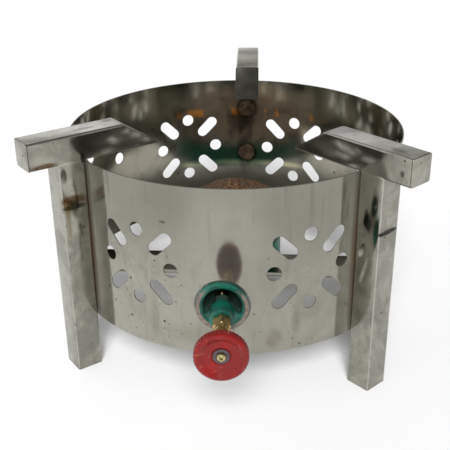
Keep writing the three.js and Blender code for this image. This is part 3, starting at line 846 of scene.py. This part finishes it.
def build_plug_weld(side, row, surface):
    """A puddled plug weld on the inside of the wall, with its frozen ripples."""
    node = f"leg_weld_{side}_{row}"
    centre = middle(node)
    away = level(centre - AXIS)
    seat = SHELL_RADIUS - SHELL_WALL
    place = outward_frame(Vector((AXIS.x, AXIS.y, centre.z)) + away * seat, -away)
    ripples = [(radius, height, 0.5) for radius, height in ((WELD_RADIUS, 0.2), *WELD_RINGS)]
    phase = random.Random(node).uniform(0, FULL_TURN)

    def wobble(angle, point):
        return point[0] * (1 + 0.05 * sin(3 * angle + phase) + 0.03 * sin(7 * angle + 2 * phase))

    builder = lathed([(WELD_RADIUS, -0.6), *ripples, (0.0, 1.4), (0.0, -0.6)], 48, wobble=wobble)
    for vert in builder.verts:
        vert.co.z += vert.co.x**2 / (2 * seat)  # follows the curve of the wall
    finished(builder, place)
    smooth(new_piece(f"plug_weld_{side}_{row}", node, builder, surface, "stand"), 60)


def weld_surface():
    """Burnt brown metal with a few brighter grains."""
    s = Surface("burnt_weld", (0.062, 0.040, 0.026), 0.75, 0.45)
    grain = s.noise(260, 6, 0.65)
    s.stain(s.ranged(s.noise(90, 4, 0.6), 0.42, 0.66), (0.15, 0.10, 0.05))
    s.stain(s.ranged(grain, 0.62, 0.78, 0, 0.6), (0.27, 0.22, 0.13))
    s.rough(s.ranged(grain, 0.3, 0.7, 0.35, 0.7))
    s.bump((grain, 0.15 * MM))
    return s


# ---- burner


def cast_piece(name, node, parts, voxel, surface, blur=2):
    """Melts closed rough solids into one casting whose inner corners run together."""
    piece = new_piece(name, node, joined(parts), surface, "stand")
    remesh = piece.modifiers.new("cast", "REMESH")
    remesh.mode = "VOXEL"
    remesh.voxel_size = voxel * MM
    remesh.use_smooth_shade = True
    soften = piece.modifiers.new("soften", "SMOOTH")
    soften.factor = 0.5
    soften.iterations = blur
    apply_modifiers(piece)


BOWL_FOOT, BOWL_RIM = (corner.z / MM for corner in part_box("burner_bowl"))
BOWL = SimpleNamespace(radius=51, foot=40, shoulder=76, wall=5, socket=24, socket_bore=19.8, socket_end=66)
CAP = SimpleNamespace(radius=50, skirt=5, wall=4, port=1.75, seat=BOWL_RIM + GAP)
# Distance from the axis of each ring of gas ports, and their number.
PORT_ROWS = ((45.5, 32), (39.5, 28), (33.5, 24), (21.5, 14), (13.5, 9), (6.0, 4))


def build_bowl(surface):
    """The bowl that the cap sits on, with the socket for the mixing tube at its front."""
    b = BOWL
    floor = b.shoulder + b.wall
    rim = BOWL_RIM - 0.5
    body = [(0, BOWL_FOOT), (b.foot, BOWL_FOOT, 3), (b.radius, b.shoulder, 5), (b.radius, BOWL_RIM - 4, 1)]
    body += [(b.radius, rim, 0.4), (b.radius - b.wall, rim, 0.4), (b.radius - b.wall, floor + 8, 4)]
    body += [(b.foot - b.wall, floor + 1, 3), (0, floor + 1)]
    start, end = b.radius - 9, b.socket_end
    socket = [(b.socket_bore, start), (b.socket, start), (b.socket, end, 1.5), (b.socket_bore, end, 0.8)]
    parts = [finished(lathed(body, 96, 4), BURNER_FRAME), finished(lathed(socket, 64, 4), BELL_FRAME)]
    cast_piece("bowl_casting", "burner_bowl", parts, 1.0, surface)


def cap_height(radius):
    """Height of the cap's domed top at a distance from its axis."""
    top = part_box("burner_cap")[1].z / MM
    shoulder = CAP.seat + CAP.skirt
    share = min(radius / CAP.radius, 1)
    return shoulder + (top - shoulder) * (1 - share**2.2)


def build_cap(surface):
    """A domed cast cap, its gas ports drilled in rings."""
    rings = 18
    radii = [CAP.radius * i / rings for i in range(rings + 1)]
    inner = BOWL.radius - BOWL.wall - 2 * GAP
    spigot = inner - CAP.wall
    outline = [(r, cap_height(r)) for r in radii]
    outline += [(CAP.radius, CAP.seat, 0.6), (inner, CAP.seat, 0.3)]
    outline += [(inner, CAP.seat - 6, 0.5), (spigot, CAP.seat - 6, 0.5)]
    outline += [(r, cap_height(r) - CAP.wall) for r in reversed(radii) if r < spigot]
    dome = finished(lathed(outline, 128), BURNER_FRAME)
    piece = new_piece("cap_casting", "burner_cap", dome, surface, "burner_cap")
    ports = []
    rng = random.Random(5)
    for row, (radius, count) in enumerate(PORT_ROWS):
        for i in range(count):
            angle = (i + row % 2 / 2) * FULL_TURN / count + rng.uniform(-0.01, 0.01)
            slope = atan2(cap_height(radius - 1) - cap_height(radius + 1), 2)
            port = prism(circle_loop((0, 0), CAP.port * MM, 16), -7 * MM, 4 * MM)
            port.transform(
                BURNER_FRAME
                @ Matrix.Rotation(angle, 4, "Z")
                @ Matrix.Translation((radius * MM, 0, cap_height(radius) * MM))
                @ Matrix.Rotation(slope * 0.8, 4, "Y")
            )
            ports.append(port)
    cut_away(piece, joined(ports))


def build_strap(surface):
    """The flat bar that carries the burner, cut to the curve of the shell at both ends."""
    low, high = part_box("burner_strap")
    reach = SHELL_RADIUS - SHELL_WALL - GAP * MM
    turn = asin((high.y - low.y) / 2 / reach)
    steps = 10
    angles = [turn * (2 * i / steps - 1) for i in range(steps + 1)]
    outline = [(reach * cos(a), reach * sin(a)) for a in angles]
    outline += [(-x, -y) for x, y in outline]
    steel_piece("strap_bar", "burner_strap", prism(outline, low.z, high.z), BURNER_FRAME, surface, 0.6 * MM)


# ---- mixing tube

# Distances along the tube count from the shell's axis towards the knob.
MIXER = SimpleNamespace(start=47, throat=15.5, radius=19.5, flare=138, mouth=181.5, mouth_radius=25.8)
LAND = 22.2  # inner radius of the flat land around the bell's mouth
LAND_ROUNDING = 3.9
BOSS = SimpleNamespace(radius=11.6, neck=7, bore=5, start=185.5, end=205)
BRIDGE = SimpleNamespace(start=168, end=180, width=9, tilt=radians(42))


def bell_outline():
    """The tube and its bell, which flares along a quarter of a cosine to a flat land around its mouth."""
    m = MIXER
    outline = [(m.radius, m.start)]
    steps = 14
    for i in range(steps + 1):
        flared = 1 - cos(i / steps * pi / 2)
        along = m.flare + i / steps * (m.mouth - 3 - m.flare)
        outline.append((m.radius + flared * (m.mouth_radius - m.radius), along))
    outline.append((m.mouth_radius, m.mouth, 0.5))
    for turn in (pi / 2 * i / 8 for i in range(9)):
        outline.append((LAND - LAND_ROUNDING * sin(turn), m.mouth - LAND_ROUNDING * (1 - cos(turn))))
    return outline + [(m.throat, m.flare), (m.throat, m.start)]


def build_mixing_tube(surface):
    """The tube with its bell, the boss that holds the valve, and the two-armed bridge between them."""
    bell = finished(lathed(bell_outline(), 128, 4), BELL_FRAME)
    boss = [(BOSS.bore, BRIDGE.start), (BOSS.neck, BRIDGE.start, 1.5), (BOSS.neck, BOSS.start - 0.5, 1.5)]
    boss += [(BOSS.radius - 0.4, BOSS.start + 0.2, 1.5)]
    boss += [(BOSS.radius, BOSS.end, 2.0), (BOSS.bore, BOSS.end, 0.4)]
    parts = [bell, finished(lathed(boss, 80, 4), VALVE_FRAME)]
    near, far = BOSS.radius * 0.5 * MM, (LAND + MIXER.mouth_radius) / 2 * MM
    half = BRIDGE.width / 2 * MM
    outline = [(near, half), (near, -half), (far, -half * 0.9), (far, half * 0.9)]
    for turn in (pi + BRIDGE.tilt, -BRIDGE.tilt):
        arm = prism(outline, BRIDGE.start * MM, BRIDGE.end * MM)
        arm.transform(Matrix.Rotation(turn, 4, "Z"))
        parts.append(finished(arm, BELL_FRAME))
    cast_piece("mixer_casting", "mixing_tube", parts, 0.75, surface, blur=3)


# ---- valve

# Turned outlines about the valve's axis: distance from the axis, distance along it and, for some, a fillet.
VALVE_BARREL = [(3.3, 206), (7.0, 206), (7.0, 220.5), (7.8, 221.2, 0.3), (7.8, 224.6, 0.6), (7.0, 225.4, 0.4)]
VALVE_BARREL += [(7.0, 226.4, 0.4), (7.8, 227.2, 0.6), (7.8, 232.0, 0.6), (3.3, 232.0, 0.3)]
VALVE_SHANK = [(1.6, 176), (4.6, 176, 0.4), (4.6, 206), (1.6, 206)]
GLAND_COLLAR = [(3.3, 239), (5.4, 239), (5.4, 241, 0.5), (3.3, 241, 0.2)]
GLAND_RING = [(3.3, 232.3), (4.15, 232.3), (4.15, 235.3), (3.3, 235.3)]
SPINDLE = [(0, 196), (0.5, 196, 0.2), (2.9, 203, 0.3), (2.9, 244.4), (2.6, 245.2), (2.9, 246)]
SPINDLE += [(2.9, 258.2, 0.3), (2.0, 258.2), (2.0, 250.2), (0, 250.2)]
JET_NOSE = [(1.2, 154), (2.6, 154, 0.4), (3.4, 156), (3.4, 160), (1.2, 160)]
JET_SHANK = [(1.2, 163), (4.6, 163), (4.6, 173, 0.4), (1.2, 173)]
# The hose tail hangs from the valve, so its outline gives heights above the floor.
BARB_ALONG = 228.4
BARB_COLLAR = [(2.4, 109.9), (3.6, 109.9), (3.6, 105, 0.2), (6.2, 105, 0.5), (6.2, 100, 0.5), (3.6, 100, 0.3)]
BARB_TOP, BARB_BOTTOM, BARB_RIBS = 97.0, 69.0, 4


def chamfered_hexagon(across, start, end):
    """A hexagonal prism whose corners are turned down at both ends."""
    radius, inner = across / sqrt(3), across / 2
    sixth = pi / 3
    steps = 72
    chamfer = (radius - inner) * 0.6
    narrow = inner * 0.98
    builder = bmesh.new()
    rows = []
    for height, limit in ((start, narrow), (start + chamfer, radius), (end - chamfer, radius), (end, narrow)):
        row = []
        for i in range(steps):
            angle = FULL_TURN * i / steps
            reach = min(inner / cos((angle % sixth) - sixth / 2), limit) * MM
            angle += sixth / 2
            row.append(builder.verts.new((reach * cos(angle), reach * sin(angle), height * MM)))
        rows.append(row)
    for row, next_row in zip(rows, rows[1:]):
        bridge(builder, row, next_row)
    builder.faces.new(rows[0][::-1])
    builder.faces.new(rows[-1])
    return builder


def barb_outline():
    outline = list(BARB_COLLAR)
    pitch = (BARB_TOP - BARB_BOTTOM) / BARB_RIBS
    for i in range(BARB_RIBS):
        top = BARB_TOP - i * pitch
        outline += [(3.6, top, 0.2), (4.7, top - 0.5, 0.25), (4.6, top - 1.4, 0.3)]
    return outline + [(3.4, BARB_BOTTOM, 0.4), (2.4, BARB_BOTTOM, 0.2)]


def build_valve(brass, packing):
    """The brass needle valve, its gland and packing, its hose tail, and the jet behind the boss."""

    def brass_piece(name, node, *builders, body="stand", place=VALVE_FRAME):
        joined_piece(name, node, place, brass, body, "brass", *builders)

    hexagon = chamfered_hexagon(across=16, start=205.3, end=221)
    brass_piece("valve_casting", "valve_body", lathed(VALVE_BARREL), hexagon, lathed(VALVE_SHANK, 32))
    hexagon = chamfered_hexagon(across=13.5, start=232.3, end=239.5)
    brass_piece("gland_hexagon", "gland_nut", hexagon, lathed(GLAND_COLLAR, 48))
    ring = lathed(GLAND_RING, 32)
    joined_piece("gland_ring", "gland_packing", VALVE_FRAME, packing, "stand", "packing", ring)
    brass_piece("spindle_rod", "valve_spindle", lathed(SPINDLE, 40), body="spindle")
    hanging = Matrix.Translation((*(VALVE_ORIGIN + VALVE_OUT * BARB_ALONG * MM).xy, 0))
    brass_piece("hose_tail", "hose_barb", lathed(barb_outline(), 48), place=hanging)
    hexagon = chamfered_hexagon(across=12, start=159, end=167)
    brass_piece("jet_nozzle", "injector_jet", hexagon, lathed(JET_NOSE, 32), lathed(JET_SHANK, 32))


# ---- handwheel

# Places along the valve's axis, radii and depths below the knob's face.
KNOB = SimpleNamespace(
    radius=24.1, back=254.5, face=265.5, hub_radius=9, hub_back=245, bore=3.2,
    dish=3.4, dish_radius=20.2, dish_floor=15.4, recess=4.8, recess_radius=8.4,
)
FLUTES = 40
FLUTE_DEPTH = 0.35


def fluted(angle, point):
    """Shallow flutes around the knob's rim, clear of its rounded edges."""
    if point[0] < (KNOB.radius - 0.6) * MM or not KNOB.back + 1.5 < point[1] / MM < KNOB.face - 1.5:
        return point[0]
    return point[0] - FLUTE_DEPTH * MM * (0.5 - 0.5 * cos(FLUTES * angle)) ** 2


def build_handwheel(plastic, zinc, washer_steel):
    """The dished knob, and the washer and screw in the recess at its middle."""
    k = KNOB
    dish = k.face - k.dish
    recess = k.face - k.recess
    outline = [(k.bore, k.hub_back, 0.2), (k.hub_radius, k.hub_back, 0.6), (k.hub_radius, k.back, 1.0)]
    outline += [(k.radius - 2.2, k.back, 0.8), (k.radius, k.back + 2.0, 1.6)]
    outline += [(k.radius, k.face - 2.0, 2.4), (k.radius - 2.6, k.face, 2.2)]
    outline += [(k.dish_radius, k.face - 0.2, 0.9), (k.dish_floor, dish, 2.4)]
    outline += [(k.recess_radius + 1.0, dish, 0.6), (k.recess_radius, dish - 0.7, 0.5)]
    outline += [(k.recess_radius - 0.2, recess, 0.4), (k.bore, recess)]
    knob = lathed(outline, 240, 5, fluted)
    place, body, metal = VALVE_FRAME, "handwheel", "zinc_plate"
    joined_piece("knob_moulding", "handwheel", place, plastic, body, "red_plastic", knob, angle=50)
    low, high = (along / MM for along in span("handwheel_washer", VALVE_ORIGIN, VALVE_OUT))
    radius = (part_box("handwheel_washer")[1].z - TUBE_HEIGHT) / MM
    washer = lathed([(2.0, low), (radius, low, 0.2), (radius, high, 0.3), (2.0, high, 0.2)])
    joined_piece("knob_washer", "handwheel_washer", place, washer_steel, body, metal, washer)
    build_screw(zinc)


def build_screw(zinc):
    """A pan-head screw with a cross recess."""
    low, top = (along / MM for along in span("handwheel_screw", VALVE_ORIGIN, VALVE_OUT))
    seat = top - 2.8
    pan = [(0, seat), (4.1, seat, 0.2), (4.1, seat + 1.2, 0.9), (3.2, top - 0.35, 1.6), (0, top)]
    head = lathed(pan, 96, 6)
    shank = lathed([(0, low), (1.7, low, 0.3), (1.7, seat + 0.5), (0, seat + 0.5)], 32)
    node, body, slot = "handwheel_screw", "handwheel", "zinc_plate"
    piece = joined_piece("knob_screw", node, VALVE_FRAME, zinc, body, slot, head, shank)
    half, wide, deep = 2.9, 0.68, 2.0
    ring = [(-half, -wide), (half, -wide), (half, wide), (-half, wide)]
    slots = []
    for turn in (45, 135):
        narrow = [(x * 0.45 * MM, y * 0.8 * MM) for x, y in ring]
        recess = prism(narrow, (top - deep) * MM, (top + 0.4) * MM, [(x * MM, y * MM) for x, y in ring])
        recess.transform(Matrix.Rotation(radians(turn), 4, "Z"))
        slots.append(recess)
    cross = joined(slots)
    cross.transform(VALVE_FRAME)
    cut_away(piece, cross, crossing=True)


# ---- burner bolts


def build_bolts(zinc):
    """The two hexagon bolts that hold the bowl to the strap, and their washers."""
    for side in ("left", "right"):
        bolt, washer = "burner_bolt_" + side, "burner_bolt_washer_" + side
        place = Matrix.Translation((*middle(bolt).xy, 0))
        low, high = (corner.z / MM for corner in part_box(bolt))
        washer_low, washer_high = (corner.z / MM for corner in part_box(washer))
        seat = washer_low - GAP
        shank = lathed([(0, seat - 1), (3.9, seat - 1), (3.9, high, 0.5), (0, high)], 40)
        head = chamfered_hexagon(13, low, seat)
        joined_piece("hex_bolt_" + side, bolt, place, zinc, "stand", "zinc_plate", head, shank)
        ring = [(4.2, washer_low), (8, washer_low, 0.3), (8, washer_high, 0.3), (4.2, washer_high, 0.2)]
        joined_piece("bolt_washer_" + side, washer, place, zinc, "stand", "zinc_plate", lathed(ring, 48))


# ---- surfaces of the small parts


def enamel_surface(name, coat=0.12):
    """Thick glossy green paint on a sand casting."""
    gloss = {"Specular_IOR_Level": 0.4, "Coat_Weight": coat, "Coat_Roughness": 0.12}
    s = Surface(name, (0.005, 0.092, 0.060), 0.0, 0.26, **gloss)
    orange_peel = s.noise(160, 3, 0.5)
    cast = s.noise(420, 4, 0.6)
    thin = s.noise(70, 5, 0.65)
    s.stain(s.ranged(thin, 0.40, 0.60, 0, 0.85), (0.004, 0.034, 0.026))
    s.bump((orange_peel, 0.35 * MM), (cast, 0.08 * MM))
    s.rough(s.ranged(thin, 0.3, 0.7, 0.22, 0.42))
    return s


def bowl_surface():
    """The green paint of the bowl, burnt off to brown iron around its upper half and all over its inside. Its
    green is laid brighter than the mixer's paint, painted light for the bowl in the shell's shade.
    """
    s = enamel_surface("green_enamel", coat=0.0)
    # Painted light: a brighter copy of the green paint, lighting the bowl that stands in the shell's shade.
    s.stain(0.8, (0.012, 0.27, 0.175))
    ragged = s.product(s.noise(55, 5, 0.6), 16 * MM)
    x, y, _ = s.split(s.moved(AXIS))
    within = s.ranged(s.length(x, y), 47 * MM, 49 * MM, 1, 0)
    inner = s.product(within, s.ranged(s.height(), 72 * MM, 78 * MM))
    upper = s.ranged(s.math("ADD", s.height(), ragged), 108 * MM, 118 * MM)
    burnt = s.math("MAXIMUM", inner, upper)
    rust = s.noise(120, 6, 0.65)
    s.stain(burnt, s.mix(s.ranged(rust, 0.4, 0.65), (0.075, 0.038, 0.022), (0.20, 0.095, 0.035)))
    s.rough(s.ranged(burnt, 0.0, 1.0, 0.3, 0.75))
    return s


def mixer_surface():
    """The green paint of the mixing tube, worn off the bell's land, and bare grey-green iron in its throat,
    darkened there as painted shade.
    """
    s = enamel_surface("green_enamel_mixer")
    across, deep, up = s.split(s.moved(BELL_ORIGIN + BELL_OUT * MIXER.mouth * MM))
    radius = s.length(across, up)
    land = LAND * MM
    ragged = s.math("ADD", up, s.product(s.noise(90, 4, 0.6), 14 * MM))
    bare = s.product(
        s.ranged(radius, land - 1.0 * MM, land - 0.2 * MM),
        s.ranged(deep, 0.2 * MM, 0.7 * MM, 1.0, 0.0),
        s.ranged(radius, land + 2.7 * MM, land + 3.4 * MM, 1.0, 0.0),
        s.ranged(ragged, 18 * MM, 27 * MM, 1.0, 0.0),
    )
    grime = s.noise(210, 5, 0.65)
    s.stain(bare, s.mix(s.ranged(grime, 0.35, 0.65), (0.085, 0.062, 0.048), (0.165, 0.135, 0.115)))
    # Bare grey-green iron in the throat, made darker than the paint as painted shade inside the bell.
    within = s.ranged(radius, land - 2.5 * MM, land - 0.5 * MM, 1.0, 0.0)
    s.stain(s.product(within, s.ranged(deep, 1.0 * MM, 6.0 * MM), 0.9), (0.030, 0.052, 0.040))
    s.set(s.shader, "Coat Weight", s.ranged(bare, 0.0, 0.6, 0.12, 0.0))
    return s


def iron_surface():
    """Bare cast iron, rusted, scorched and pitted, with pale gold flecks that are painted highlights."""
    s = Surface("burnt_iron", (0.062, 0.037, 0.023), 0.35, 0.72)
    rust = s.noise(130, 6, 0.65, distortion=0.4)
    fine = s.noise(500, 5, 0.6)
    s.stain(s.ranged(rust, 0.42, 0.62), (0.125, 0.058, 0.024))
    # Painted highlights: pale gold flecks standing for small glints on the rough iron.
    s.stain(s.ranged(fine, 0.56, 0.68, 0, 0.9), (0.42, 0.27, 0.12))
    s.stain(s.ranged(s.cells(330), 0.12, 0.3, 0.7, 0), (0.02, 0.013, 0.009))
    s.rough(s.ranged(rust, 0.3, 0.7, 0.45, 0.85))
    s.bump((rust, 0.35 * MM), (fine, 0.15 * MM))
    return s


def brass_surface():
    """Turned brass, tarnished in patches."""
    s = Surface("turned_brass", (0.62, 0.45, 0.21), 1.0, 0.24)
    tarnish = s.noise(120, 5, 0.6)
    lines = s.noise(1500, 2, 0.5)
    s.stain(s.ranged(tarnish, 0.44, 0.66, 0, 0.7), (0.24, 0.15, 0.055))
    s.rough(s.ranged(tarnish, 0.3, 0.7, 0.16, 0.4))
    s.bump((lines, 0.02 * MM), (tarnish, 0.08 * MM))
    return s


def plastic_surface():
    """Gloss red plastic, grimy, scuffed and specked with pale dust."""
    gloss = {"Specular_IOR_Level": 0.12, "Coat_Weight": 0.3, "Coat_Roughness": 0.05}
    depth = {"Subsurface_Weight": 0.05, "Subsurface_Radius": (0.003, 0.0008, 0.0006)}
    s = Surface("red_plastic", (0.185, 0.0075, 0.007), 0.0, 0.35, **gloss, **depth)
    scuffs = s.noise(150, 6, 0.7)
    nicks = s.noise(700, 3, 0.6)
    hairs = s.noise(260, 3, 0.6, s.moved(turn=0.6, stretch=(0.12, 1, 1)))
    s.stain(s.ranged(s.noise(38, 5, 0.65), 0.40, 0.62, 0, 0.6), (0.105, 0.010, 0.009))
    s.stain(s.ranged(scuffs, 0.48, 0.66, 0, 0.5), (0.13, 0.009, 0.009))
    s.stain(s.ranged(hairs, 0.64, 0.74, 0, 0.5), (0.36, 0.12, 0.045))
    s.stain(s.ranged(s.cells(190), 0.07, 0.15, 0.55, 0), (0.34, 0.11, 0.045))
    s.stain(s.ranged(s.cells(420), 0.05, 0.10, 0.5, 0), (0.40, 0.16, 0.09))
    s.rough(s.ranged(scuffs, 0.3, 0.7, 0.25, 0.45))
    s.bump((scuffs, 0.1 * MM), (nicks, 0.03 * MM))
    return s


def zinc_surface():
    """Yellow zinc plate."""
    s = Surface("zinc_plate", (0.62, 0.56, 0.28), 1.0, 0.3)
    blotch = s.noise(300, 4, 0.6)
    s.stain(s.ranged(blotch, 0.45, 0.7, 0, 0.6), (0.45, 0.42, 0.28))
    s.rough(s.ranged(blotch, 0.3, 0.7, 0.22, 0.42))
    s.bump((blotch, 0.03 * MM))
    return s


def washer_surface():
    """Plain steel, painted dark and slightly purple: painted shade of the knob's recess and a painted
    reflection of the red knob.
    """
    # Painted shade and reflection: the base colour is dark purple-grey for the recess the washer sits in and
    # the red plastic around it.
    s = Surface("dark_washer", (0.14, 0.115, 0.125), 1.0, 0.34)
    blotch = s.noise(340, 5, 0.65)
    s.stain(s.ranged(blotch, 0.45, 0.68, 0, 0.7), (0.065, 0.052, 0.056))
    s.rough(s.ranged(blotch, 0.3, 0.7, 0.24, 0.5))
    s.bump((blotch, 0.04 * MM))
    return s


def packing_surface():
    s = Surface("packing_ring", (0.78, 0.76, 0.70), 0.0, 0.6)
    fibres = s.noise(900, 3, 0.6, s.moved(stretch=(1, 0.2, 1)))
    s.stain(s.ranged(fibres, 0.45, 0.65, 0, 0.5), (0.55, 0.52, 0.45))
    s.bump((fibres, 0.05 * MM))
    return s


# ---- floor, light and camera

FLOOR_REACH = 60  # metres to each side; only a low view from behind shows its far edge
# Brightness of the studio walls against the sine of the elevation: bright walls, a dark ceiling.
SKY = ((0, 0.70), (0.2, 1.08), (0.26, 1.0), (0.34, 0.62), (0.44, 0.75), (0.56, 1.0), (0.74, 0.35))
SKY += ((0.9, 0.13), (1, 0.11))
SKY_SIDES = (-0.2, 0.35, 1.12, 0.5)  # from this X to this X, the walls fade from this brightness to this
# Name, direction of the lamp, strength, spread in degrees, and whether polished metal mirrors it.
LAMPS = (("softbox", (0.04, -0.78, 0.62), 4.0, 26, False), ("flash", (0.08, -0.84, 0.54), 0.35, 2.5, True))
CAMERA_PLACE = Vector((0.06837, -0.82254, 0.51324))
CAMERA_YAW, CAMERA_PITCH, CAMERA_ROLL = (radians(a) for a in (5.041, -25.483, -0.655))
CAMERA_LENS = 65.30


def add_floor():
    builder = bmesh.new()
    bmesh.ops.create_grid(builder, x_segments=1, y_segments=1, size=FLOOR_REACH)
    mesh = bpy.data.meshes.new("floor")
    builder.to_mesh(mesh)
    builder.free()
    floor = bpy.data.objects.new("floor", mesh)
    bpy.context.scene.collection.objects.link(floor)
    s = Surface("pale_floor", (0.86, 0.86, 0.86), 0.0, 0.7)
    s.stain(s.ranged(s.noise(3, 4, 0.6), 0.3, 0.7), (0.84, 0.84, 0.845))
    mesh.materials.append(s.material)


def add_world():
    world = bpy.data.worlds.new("studio")
    bpy.context.scene.world = world
    studio = Patterns(world)
    background = studio.nodes["Background"]
    x, _, z = studio.split(studio.add("ShaderNodeTexCoord").outputs["Generated"])
    studio.set(background, "Color", studio.ramp(z, [(sine, (grey, grey, grey)) for sine, grey in SKY]))
    studio.set(background, "Strength", studio.ranged(x, *SKY_SIDES, steps="LINEAR"))


def add_lamp(name, toward, strength, spread, seen_in_metal):
    """A distant round lamp in the direction given."""
    light = bpy.data.lights.new(name, "SUN")
    light.energy = strength
    light.angle = radians(spread)
    lamp = bpy.data.objects.new(name, light)
    lamp.rotation_euler = Vector(toward).to_track_quat("Z", "Y").to_euler()
    lamp.visible_glossy = seen_in_metal
    bpy.context.scene.collection.objects.link(lamp)


def add_camera():
    data = bpy.data.cameras.new("camera")
    data.lens = CAMERA_LENS
    data.sensor_width = 36
    camera = bpy.data.objects.new("camera", data)
    ahead = Vector((-sin(CAMERA_YAW), cos(CAMERA_YAW), 0))
    forward = ahead * cos(CAMERA_PITCH) + UP * sin(CAMERA_PITCH)
    right = forward.cross(UP).normalized()
    above = right.cross(forward)
    kept, tipped = cos(CAMERA_ROLL), sin(CAMERA_ROLL)
    axes = Matrix((kept * right + tipped * above, kept * above - tipped * right, -forward)).transposed()
    camera.matrix_world = Matrix.Translation(CAMERA_PLACE) @ axes.to_4x4()
    bpy.context.scene.collection.objects.link(camera)
    bpy.context.scene.camera = camera


# ---- everything


def main():
    build_shell((shell_outside(), shell_inside(), cut_edge()))
    tube = {side: tube_surface(side) for side in SIDES}
    burnt = weld_surface()
    for side in SIDES:
        build_leg(side, tube[side])
        build_arm(side, tube[side])
        for row in WELD_ROWS:
            build_plug_weld(side, row, burnt)
    build_bowl(bowl_surface())
    build_cap(iron_surface())
    build_strap(brushed_steel("steel_strap", roughness=0.25, stretch=(0.06, 1, 1)))
    build_mixing_tube(mixer_surface())
    build_valve(brass_surface(), packing_surface())
    zinc = zinc_surface()
    build_handwheel(plastic_surface(), zinc, washer_surface())
    build_bolts(zinc)

    add_floor()
    add_world()
    for lamp in LAMPS:
        add_lamp(*lamp)
    add_camera()
    bpy.context.scene.view_settings.view_transform = "Standard"


main()
